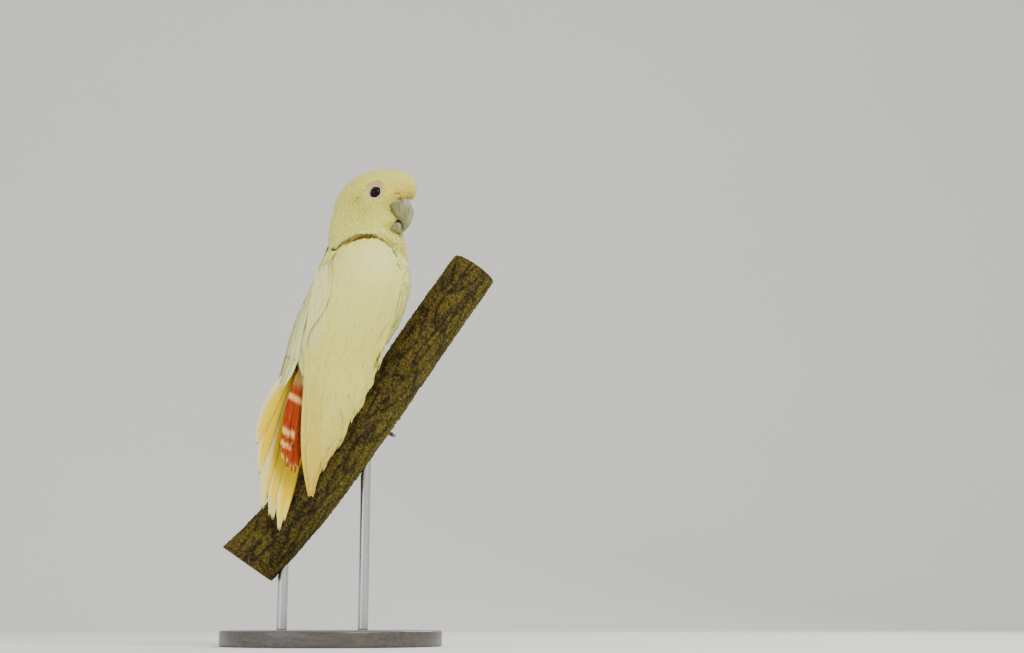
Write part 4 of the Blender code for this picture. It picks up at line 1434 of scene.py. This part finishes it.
def build_flank_fringe():
    """The flank's fringe under the wing's breast edge."""
    coat = Coat("flank_fringe")
    random = np.random.RandomState(31)
    heights = np.concatenate([random.uniform(128, 254, 190), random.uniform(140, 176, 60)])
    tracks, halves = [], []
    for height in heights:
        x = float(curve(BREAST_EDGE, height)[0])
        x += random.uniform(-3.5, 1.5) + (random.rand() < 0.22) * random.uniform(0.5, 2.4)
        long = random.uniform(14, 26)
        lean = random.uniform(0.16, 0.34)
        middle = (height + long / 2, x + lean * long / 2)
        tracks.append(((height + long, x + lean * long - 1.5), middle, (height, x)))
        halves.append(random.uniform(0.5, 1.7))
    blades(coat, near_wing, TO_FRONT, tracks, halves, random.uniform(-1.8, -0.5, len(heights)),
           wing_tint("wing_right", 7, 0.3), rows=10, columns=2, tip=0.08, crown=0.05, seed=32, fray=0.5,
           root=0.6, wide=0.4)
    coat.make(feather_paint(), "plumage", "wing_right", soft=0.4)


def build_back():
    """Long feathers that close the back between the two folded wings."""

    def between_wings(height, share):
        edges = []
        for wing in ("wing_right", "wing_left"):
            row = curve(WING_ROWS[wing], height)
            angle = np.radians(row[..., 4])
            x = row[..., 0] + (row[..., 2] + 0.6) * np.cos(angle)
            y = row[..., 1] + (row[..., 3] + 0.6) * np.sin(angle)
            edges.append(np.stack([x, y], axis=-1))
        level = edges[0] + (edges[1] - edges[0]) * np.asarray(share, float)[..., None]
        return np.concatenate([level, np.asarray(height, float)[..., None] + 0 * level[..., :1]], axis=-1)

    coat = Coat("back_feathers")
    random = np.random.RandomState(45)
    tracks = []
    for height in (262, 248, 236, 226, 218):
        for share in between(-0.12, 1.05, 6) + random.uniform(-0.05, 0.05, 6):
            tip = height + random.uniform(-5, 5)
            tracks.append(((height + 42, share), (height + 20, share), (tip, share)))
    for height, share in ((209, -0.1), (206, 0.1), (211, 0.3), (203, 0.0)):
        tracks.append(((height + 46, share), (height + 22, share), (height, share)))
    lifts = random.uniform(-0.5, 0.3, len(tracks))
    to_back = np.array((-0.7, -0.6, 0.0))
    blades(coat, between_wings, to_back, tracks, 4.2, lifts, wing_tint("wing_left", 12, 1.0), rows=16,
           columns=6, tip=0.2, seed=46, step=0.02, fray=0.3, melt=0.3)
    coat.make(feather_paint(), "plumage", "wing_left", "wing_right", soft=0.6)


def build_far_wing():
    """Primaries, secondaries and coverts of the left wing."""
    coat = Coat("far_wing_feathers")
    tint = wing_tint("wing_left", 8, 0.35)
    tracks = row_tracks(262, between(0.15, 0.85, 7), between(113, 152, 7), between(0.5, 0.8, 7))
    blades(coat, far_wing, None, tracks, 8.0, between(-1.7, -1.0, 7), tint, rows=34, seed=41, step=0.02,
           wide=0.35)
    heights = (180, 173, 167, 162, 158, 156, 158, 164, 172, 182, 194, 206)
    tracks = row_tracks(270, between(0.04, 0.95, 12), heights, between(0.06, 0.95, 12))
    blades(coat, far_wing, None, tracks, 7.0, between(-0.6, -0.9, 12), tint, rows=30, tip=0.3, tilt=0.02,
           seed=42, step=0.02)
    tracks = row_tracks(288, between(0.02, 0.96, 16), between(196, 224, 16), between(0.03, 0.97, 16))
    blades(coat, far_wing, None, tracks, 5.8, -0.4, tint, rows=26, tip=0.35, tilt=0.02, seed=43, step=0.02)
    tracks = row_tracks(292, between(0.02, 0.96, 20), between(214, 236, 20), between(0.02, 0.97, 20))
    blades(coat, far_wing, None, tracks, 4.8, -0.1, tint, rows=22, tip=0.35, tilt=0.02, seed=44, step=0.02)
    coat.make(feather_paint(), "plumage", "wing_left")


# where yellow begins across each tail feather
WHITE_EDGES = (-0.40, -0.45, 0.25, -0.25, -0.50, -0.7, 0.6, 0.6)


def tail_tint(points, share, across):
    """White outer webs, yellow inner webs with deeper streaks, and pale tips."""
    s = plumage()
    number, rows = points.shape[:2]
    random = np.random.RandomState(9)
    tint = np.empty((number, rows, len(across), 3))
    white, yellow, pale = np.array(s.white), np.array(s.yellow), np.array(s.pale)
    peach = np.array((0.86, 0.70, 0.42))
    deep = np.array((0.78, 0.43, 0.0))
    for i in range(number):
        begin = WHITE_EDGES[i % len(WHITE_EDGES)]
        inner = smooth_step(across, begin - 0.15, begin + 0.25)
        height = points[i, :, 2] / MM
        strong = 1 - 0.60 * smooth_step(share, 0.82, 1.0)
        strong = strong * (1 - 0.10 * smooth_step(height, 178, 200))
        weight = inner[None] * strong[:, None]
        base = white + (peach - white) * (0.7 * smooth_step(height, 140, 165))[:, None]
        tint[i] = base[:, None] + (yellow - base[:, None]) * weight[..., None]
        phase = random.uniform(0, 6, 2)
        streak = np.clip(np.sin(across * 7 + phase[0]) * np.sin(across * 3.1 + phase[1]), 0, 1)[None] * weight
        streak = streak * (1 - smooth_step(height, 160, 185))[:, None]
        tint[i] += (deep - tint[i]) * (0.75 * streak)[..., None]
        tint[i] += (pale - tint[i]) * (0.6 * smooth_step(share, 0.9, 1.0))[:, None, None]
    return tint


# place of each whitish bar across the undertail coverts, its half breadth, and the x beyond which it ends
COVERT_BARS = (
    (212.5, 13.0, 0.0), (187.8, 2.6, 0.0), (159.4, 2.7, -30.0), (149.4, 2.1, -33.0), (138.2, 1.8, -36.0),
)


COVERT_HALF = 4.8  # half breadth of an undertail covert


def flat_hill(value, middle, width):
    """A bell with a flat top and steep sides."""
    return np.exp(-(((value - middle) / width) ** 4))


def covert_tint(points, share, across):
    """Orange red with whitish bars that slant down to the right."""
    s = plumage()
    number = len(points)
    random = np.random.RandomState(10)
    red, bar = np.array(s.red), np.array(s.bar)
    side = unit(np.cross(TO_FRONT, np.gradient(points, axis=1)))
    x = points[:, :, None, 0] / MM + side[:, :, None, 0] * across * COVERT_HALF
    height = points[:, :, None, 2] / MM + side[:, :, None, 2] * across * COVERT_HALF
    place = height + 0.45 * (x + 36) + random.normal(0, 0.35, number)[:, None, None]
    weight = np.zeros(place.shape)
    for middle, half, end in COVERT_BARS:
        there = flat_hill(place, middle, half) * (1 - smooth_step(x, end - 2.5, end + 0.5))
        weight = np.maximum(weight, there)
    flecks = flat_hill(place, 135.5, 2.6) * hill((x, -31.3, 1.6))
    weight = np.maximum(weight, 0.8 * flecks)
    shade = 1 - 0.30 * smooth_step(x, -36, -26) * (1 - smooth_step(height, 165, 185))
    tint = red * shade[..., None] * random.uniform(0.9, 1.08, number)[:, None, None, None]
    fine = np.clip(np.sin(across * 19), 0, 1) * 0.05
    tint = tint + (bar - tint) * fine[None, None, :, None]
    return tint + (bar - tint) * (0.92 * weight)[..., None]


def build_tail():
    """Twelve tail feathers seen from below, and the coverts over their roots."""
    coat = Coat("tail_feathers")
    # height and x of each tip, x of each root, how far the middle bows, half breadth, lift
    feathers = (
        (150, -60.0, -35.0, -8.5, 7.0, 1.7), (128, -57.5, -34.0, -9.5, 7.4, 1.3),
        (102, -54.2, -33.0, -9.0, 7.6, 0.9), (97, -48.6, -30.0, -5.5, 7.0, 0.5),
        (86.5, -41.4, -26.0, -3.5, 6.6, 0.15), (93.5, -38.2, -23.0, -1.5, 6.6, 0.0),
        (111, -37.0, -20.0, 0.0, 6.4, -0.3), (121, -34.5, -18.5, 2.5, 6.4, -0.5),
        (95, -46, -30, -4.0, 7.0, -0.4), (97, -42, -26, -2.0, 7.0, -0.7),
        (103, -40, -23, 0.0, 7.0, -1.0), (110, -50, -33, -6.5, 7.0, -1.3),
    )
    heights, tips, roots, bows, halves, lifts = np.array(feathers).T
    tracks = row_tracks(212, roots + 1.5, heights, tips, bows)
    blades(coat, tail_face, TO_FRONT, tracks, halves, lifts, tail_tint, rows=36, columns=14, tip=0.22,
           seed=51, wide=0.6, fray=0.16, crown=0.01)
    coat.make(feather_paint(), "tail_plumage", "tail")
    under = Coat("undertail_feathers")
    tips = ((130, -31.5), (134, -35.5), (140, -39.5), (134, -29.5), (147, -40.5), (143, -27),
            (157, -39.5), (158, -27), (168, -36), (172, -24), (150, -33), (163, -31))
    tracks = [((225, -19.5), ((225 + h) / 2 + 4, (-19.5 + x) / 2 - 1.5), (h, x)) for h, x in tips]
    blades(under, covert_face, TO_FRONT, tracks, COVERT_HALF, between(0.3, 2.4, 12), covert_tint, rows=44,
           columns=10, tip=0.4, crown=0.01, seed=52, fray=0.25)
    under.make(feather_paint(), "red_coverts", "undertail_coverts", soft=0.8)


# Bill, eyes, feet and claws.


# height in millimetres below which each half of the bill darkens toward its tip
DARK_BELOW = {"bill_upper": 324.5, "bill_lower": 318.0}


def build_bill():
    """Both halves of the bill, smooth, with growth ridges, a keel and the nostrils."""
    s = horn()
    skin = node_tree("head"), node_tree("neck")
    for node, dark_low in DARK_BELOW.items():
        piece = solid_copy(node + "_horn", (node,), 0.42 * MM, 14)
        points, normals = points_of(piece), normals_of(piece)
        place = in_head(points) / MM
        ridges = np.sin(place[:, 0] * 5.5 + np.sin(place[:, 2] * 0.9)) * 0.03
        rough = np.array([noise.fractal(Vector(p * 420), 0.6, 2.0, 4) for p in points]) * 0.05
        nostril = nostril_gap(points)
        dent = 1.2 * (1 - smooth_step(nostril, 0.5, 1.3))
        to_skin = np.min([[tree.find_nearest(Vector(p))[3] for p in points] for tree in skin], axis=0)
        shift = normals * ((ridges + rough - dent) * MM)[:, None]
        if node == "bill_upper":
            shoulder = hill((place[:, 0], 17, 5), (place[:, 2], -9, 7))
            swell = np.sign(place[:, 1]) * 2.7 * MM * shoulder * (np.abs(place[:, 1]) > 2)
            shift += HEAD_ASIDE * swell[:, None]
        else:
            back = smooth_step(place[:, 0].max() - place[:, 0], 2.5, 9.0)
            flare = smooth_step(np.abs(place[:, 1]), 0.5, 3) * (1.4 + 3.0 * back)
            shift += HEAD_ASIDE * (np.sign(place[:, 1]) * flare * MM)[:, None]
            shift -= (HEAD_AHEAD * 2.6 + UP * 0.8) * (back * MM)[:, None]
            shift += UP * (0.9 * MM * smooth_step(place[:, 2], -30, -25) * (1 - back))[:, None]
        move_points(piece, points + shift)
        side, keel = np.array(s.bill), np.array(s.keel)
        # painted highlight: the keel colour on the front ridge, where the bill faces ahead
        front = smooth_step(1.0 - np.abs(place[:, 1]) / 4.2, 0.0, 0.5) * (normals @ HEAD_AHEAD > 0.1)
        tint = side + (keel - side) * front[:, None]
        streak = np.array([noise.noise(Vector((p[0] * 0.8, p[1] * 0.8, p[2] * 0.10))) for p in place])
        blotch = np.array([noise.noise(Vector(p * 0.22)) for p in place])
        tint = tint * (1 + 0.55 * streak + 0.25 * blotch)[:, None]
        height = points[:, 2] / MM
        tip = 1 - smooth_step(height, dark_low, dark_low + 9)
        blend(tint, (0.20, 0.16, 0.08), 0.45 * tip)
        shaded = (1 - smooth_step(to_skin, 0.5 * MM, 4.5 * MM)) * smooth_step(-place[:, 2], 8, 12)
        blend(tint, (0.115, 0.080, 0.022), 0.7 * shaded)
        # painted shade: near black in the nostril's hole
        darken(tint, 0.95 * (1 - smooth_step(nostril, 0.8, 1.4)))
        x = points[:, 0] / MM
        # painted shade: near black at the gape between the two halves of the bill
        arch = height - 330.6 + 0.16 * (x - 44.6) ** 2
        mouth_shade = hill((arch, 0, 1.3)) * (np.abs(x - 44.4) < 3.6)
        blend(tint, (0.035, 0.02, 0.006), 0.92 * mouth_shade)
        if node == "bill_lower":
            tint = tint * (1.05, 0.93, 0.85)
        paint_points(piece, tint)
        piece.data.materials.append(bill_paint())
        keep(piece, "bill_horn", node)


def build_eyes():
    """Wet dark eyeballs with a bulging cornea."""
    for node, side in (("eye_right", 1), ("eye_left", -1)):
        middle = centre(node)
        bpy.ops.mesh.primitive_uv_sphere_add(segments=64, ring_count=32, radius=EYE_RADIUS)
        piece = bpy.context.object
        piece.name = piece.data.name = node + "_ball"
        points = points_of(piece)
        out = points @ (HEAD_ASIDE * side) / EYE_RADIUS
        bulge = 1 + 0.02 * smooth_step(out, 0.55, 0.95)
        move_points(piece, points * bulge[:, None] + middle - HEAD_ASIDE * side * 0.6 * MM)
        iris = np.array(horn().iris)
        tint = np.tile(iris, (len(points), 1)) * (0.35 + 0.65 * (1 - smooth_step(out, 0.86, 0.93)))[:, None]
        paint_points(piece, tint)
        piece.data.materials.append(eye_paint())
        piece.data.shade_smooth()
        keep(piece, "eye", node)


def build_feet():
    """Scaly toes and their curved claws."""
    for side in ("left", "right"):
        node = "foot_" + side
        piece = solid_copy(node + "_scales", (node,), 0.6 * MM, 6)
        points, normals = points_of(piece), normals_of(piece)
        bumps = np.array([noise.cell(Vector(p * 900)) for p in points]) * 0.08
        soft = np.array([noise.fractal(Vector(p * 500), 0.7, 2.0, 3) for p in points]) * 0.12
        move_points(piece, points + normals * ((bumps + soft) * MM)[:, None])
        piece.data.materials.append(foot_paint())
        keep(piece, "foot_scales", node)
    for node in CLAW_NODES:
        piece = solid_copy(node + "_horn", (node,), 0.28 * MM, 8)
        piece.data.materials.append(claw_paint())
        keep(piece, "claw_horn", node)


# The perch and the stand.


def build_perch():
    """The cut branch: fissured bark with fine ridges across, patches of moss and sawn ends."""
    s = support()
    piece = solid_copy("branch", ("perch",), 0.9 * MM, 6)
    points, normals = points_of(piece), normals_of(piece)
    along = np.array((math.sin(BRANCH_LEAN), 0.0, math.cos(BRANCH_LEAN)))
    cut = np.abs(normals @ along) > 0.8
    x, y, z = points.T
    level = points @ along
    aside = x * math.cos(BRANCH_LEAN) - z * math.sin(BRANCH_LEAN)
    relief, tone, moss = np.empty(len(points)), np.empty(len(points)), np.empty(len(points))
    for i, (a, b, c) in enumerate(zip(aside / MM, y / MM, level / MM)):
        fissure = 1 - abs(noise.noise(Vector((a * 0.16, b * 0.16, c * 0.035)))) * 2.2
        ridge = noise.noise(Vector((a * 0.30 + c * 0.12, b * 0.30, c * 0.55)))
        grain = noise.fractal(Vector((a * 0.7, b * 0.7, c * 0.9)), 0.75, 2.0, 3)
        fissure = max(fissure, 0.0) ** 3
        weave = noise.noise(Vector((a * 0.9 - c * 0.5, b * 0.9, c * 1.5)))
        relief[i] = 0.75 * grain + 0.55 * ridge + 0.35 * weave - 1.1 * fissure
        tone[i] = 0.5 + 0.6 * grain + 0.4 * ridge + 0.45 * weave - 0.7 * fissure
        moss[i] = noise.fractal(Vector((a * 0.11 + 9, b * 0.11, c * 0.07)), 0.8, 2.0, 3) + 0.3 * grain
    rings = np.sin(np.hypot(aside, y) / MM * 2.2)
    relief = np.where(cut, 0.12 * rings, relief)
    ends = np.minimum(np.abs(level - level.min()), np.abs(level - level.max())) < 1.5 * MM
    relief = np.where(ends & ~cut, relief * 0.4, relief)
    move_points(piece, points + normals * (relief * MM)[:, None])
    bark, dark = np.array(s.bark), np.array(s.fissure)
    tone = np.clip(tone, 0, 1)[:, None]
    # the hollows are painted near black: partly the bark's own colour, partly painted shade in them
    tint = dark + (bark - dark) * tone
    tint += (np.array(s.moss) - tint) * (0.55 * smooth_step(moss, 0.10, 0.50))[:, None] * (0.35 + 0.65 * tone)
    # painted highlight: a paler, greyer tone along the branch's lower right side, where light falls on it
    lit_side = smooth_step(aside, aside.mean() + 6 * MM, aside.max())[:, None]
    tint += (np.array((0.20, 0.175, 0.028)) * (0.35 + tone) - tint) * 0.40 * lit_side
    wood = np.array(s.wood) * (0.85 + 0.25 * rings)[:, None]
    tint = np.where(cut[:, None], wood, tint)
    paint_points(piece, tint)
    piece.data.materials.append(bark_paint())
    keep(piece, "bark", "perch")


def build_stand():
    """A flat round base and two upright rods."""
    low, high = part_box("stand_base")
    bpy.ops.mesh.primitive_cylinder_add(
        vertices=160, radius=(high.x - low.x) / 2, depth=high.z - low.z, location=(low + high) / 2
    )
    base = bpy.context.object
    base.name = base.data.name = "base_board"
    bpy.ops.object.transform_apply(location=True)
    apply(base, "BEVEL", width=1.5 * MM, segments=4, limit_method="ANGLE", angle_limit=math.radians(40))
    base.data.materials.append(board_paint())
    activate(base)
    bpy.ops.object.shade_smooth_by_angle(angle=math.radians(35))
    keep(base, "stand_board", "stand_base")
    paint = rod_paint()
    for node in ("stand_rod_low", "stand_rod_high"):
        rod = solid_copy(node + "_bar", (node,), 0.5 * MM, 4)
        rod.data.materials.append(paint)
        keep(rod, "stand_rod", node)


CAMERA_HEIGHT = 0.02
LOOK_UP, LOOK_RIGHT = 10.93, 6.645  # degrees
SENSOR, LENS = 36.0, 53.4  # millimetres


def build_stage():
    """Pale floor that rises into a backdrop, soft lights and the camera."""
    s = bpy.context.scene.cockatoo_stage
    behind, bend = 1.6, 0.9
    turns = np.linspace(0, math.pi / 2, 17)[1:]
    run = [(-9.0, 0.0), (behind, 0.0)]
    run += [(behind + bend * math.sin(a), bend - bend * math.cos(a)) for a in turns]
    run.append((behind + bend, 7.0))
    mesh = bpy.data.meshes.new("floor")
    points = [(x, y, z) for y, z in run for x in (-10.0, 10.0)]
    mesh.from_pydata(points, [], [(2 * i, 2 * i + 1, 2 * i + 3, 2 * i + 2) for i in range(len(run) - 1)])
    floor = linked("floor", mesh)
    mesh.materials.append(floor_paint())
    mesh.shade_smooth()

    # name, place, size, power and colour
    lights = (
        ("key", (0.75, -1.15, 1.35), 0.9, s.key, (1.0, 0.97, 0.92)),
        ("fill", (-1.3, -1.0, 0.7), 1.3, s.key * 0.42, (0.90, 0.95, 1.0)),
        ("rim", (0.9, 1.1, 1.1), 0.7, s.key * 0.5, (1.0, 0.98, 0.94)),
    )
    for name, place, size, power, tone in lights:
        bpy.ops.object.light_add(type="AREA", location=place)
        light = bpy.context.object
        light.name = name
        light.data.shape, light.data.size = "DISK", size
        light.data.energy, light.data.color = power, tone
        aim = Vector((0.0, 0.0, 0.2)) - Vector(place)
        light.rotation_euler = aim.to_track_quat("-Z", "Y").to_euler()
    world = bpy.data.worlds.new("studio")
    world.use_nodes = True
    sky = world.node_tree.nodes["Background"].inputs
    sky["Color"].default_value, sky["Strength"].default_value = (1.0, 0.99, 0.95, 1.0), 0.85
    bpy.context.scene.world = world

    bpy.ops.object.camera_add(location=(0.0, -s.distance, CAMERA_HEIGHT))
    camera = bpy.context.object
    camera.rotation_euler = (math.radians(90 + LOOK_UP), 0.0, math.radians(-LOOK_RIGHT))
    camera.data.sensor_width, camera.data.lens = SENSOR, LENS
    camera.data.clip_start, camera.data.clip_end = 0.01, 20.0
    camera.data.dof.use_dof = False
    bpy.context.scene.camera = camera


# The add-on's operators and panel.


def operator(name, label, build):
    """An operator class that runs one build function."""

    def execute(self, context):
        build()
        return {"FINISHED"}

    names = {"bl_idname": "cockatoo." + name, "bl_label": label, "__doc__": build.__doc__, "execute": execute}
    names["bl_options"] = {"REGISTER", "UNDO"}
    return type("COCKATOO_OT_" + name, (bpy.types.Operator,), names)


OPERATORS = (
    operator("skin", "Build skin", build_skin),
    operator("head_coat", "Build head feathers", build_head_coat),
    operator("face_edge", "Build feather edge round the bill", build_face_edge),
    operator("neck_coat", "Build neck feathers", build_neck_coat),
    operator("body_coat", "Build body feathers", build_body_coat),
    operator("wing_coverts", "Build wing coverts", build_wing_coverts),
    operator("near_wing", "Build right wing feathers", build_near_wing),
    operator("back", "Build back feathers", build_back),
    operator("far_wing", "Build left wing feathers", build_far_wing),
    operator("tail", "Build tail feathers", build_tail),
    operator("bill", "Build bill", build_bill),
    operator("eyes", "Build eyes", build_eyes),
    operator("feet", "Build feet and claws", build_feet),
    operator("perch", "Build perch", build_perch),
    operator("stand", "Build stand", build_stand),
    operator("stage", "Set stage, lights and camera", build_stage),
)


class COCKATOO_PT_panel(bpy.types.Panel):
    """Settings and build steps of the cockatoo"""

    bl_idname = "COCKATOO_PT_panel"
    bl_label = "Cockatoo"
    bl_space_type = "VIEW_3D"
    bl_region_type = "UI"
    bl_category = "Cockatoo"

    def draw(self, context):
        scene = context.scene
        for settings in SETTINGS:
            values = getattr(scene, settings)
            for key in values.bl_rna.properties.keys():
                if key not in ("rna_type", "name"):
                    self.layout.prop(values, key)
        for step in OPERATORS:
            self.layout.operator(step.bl_idname)


SETTINGS = {
    "cockatoo_plumage": PlumageSettings,
    "cockatoo_horn": HornSettings,
    "cockatoo_support": SupportSettings,
    "cockatoo_stage": StageSettings,
}
CLASSES = (*SETTINGS.values(), *OPERATORS, COCKATOO_PT_panel)


def register():
    for item in CLASSES:
        bpy.utils.register_class(item)
    for name, kind in SETTINGS.items():
        setattr(bpy.types.Scene, name, bpy.props.PointerProperty(type=kind))


def unregister():
    for name in SETTINGS:
        delattr(bpy.types.Scene, name)
    for item in reversed(CLASSES):
        bpy.utils.unregister_class(item)


def main():
    register()
    for step in OPERATORS:
        getattr(bpy.ops.cockatoo, step.bl_idname.split(".")[1])()


if __name__ == "__main__":
    main()
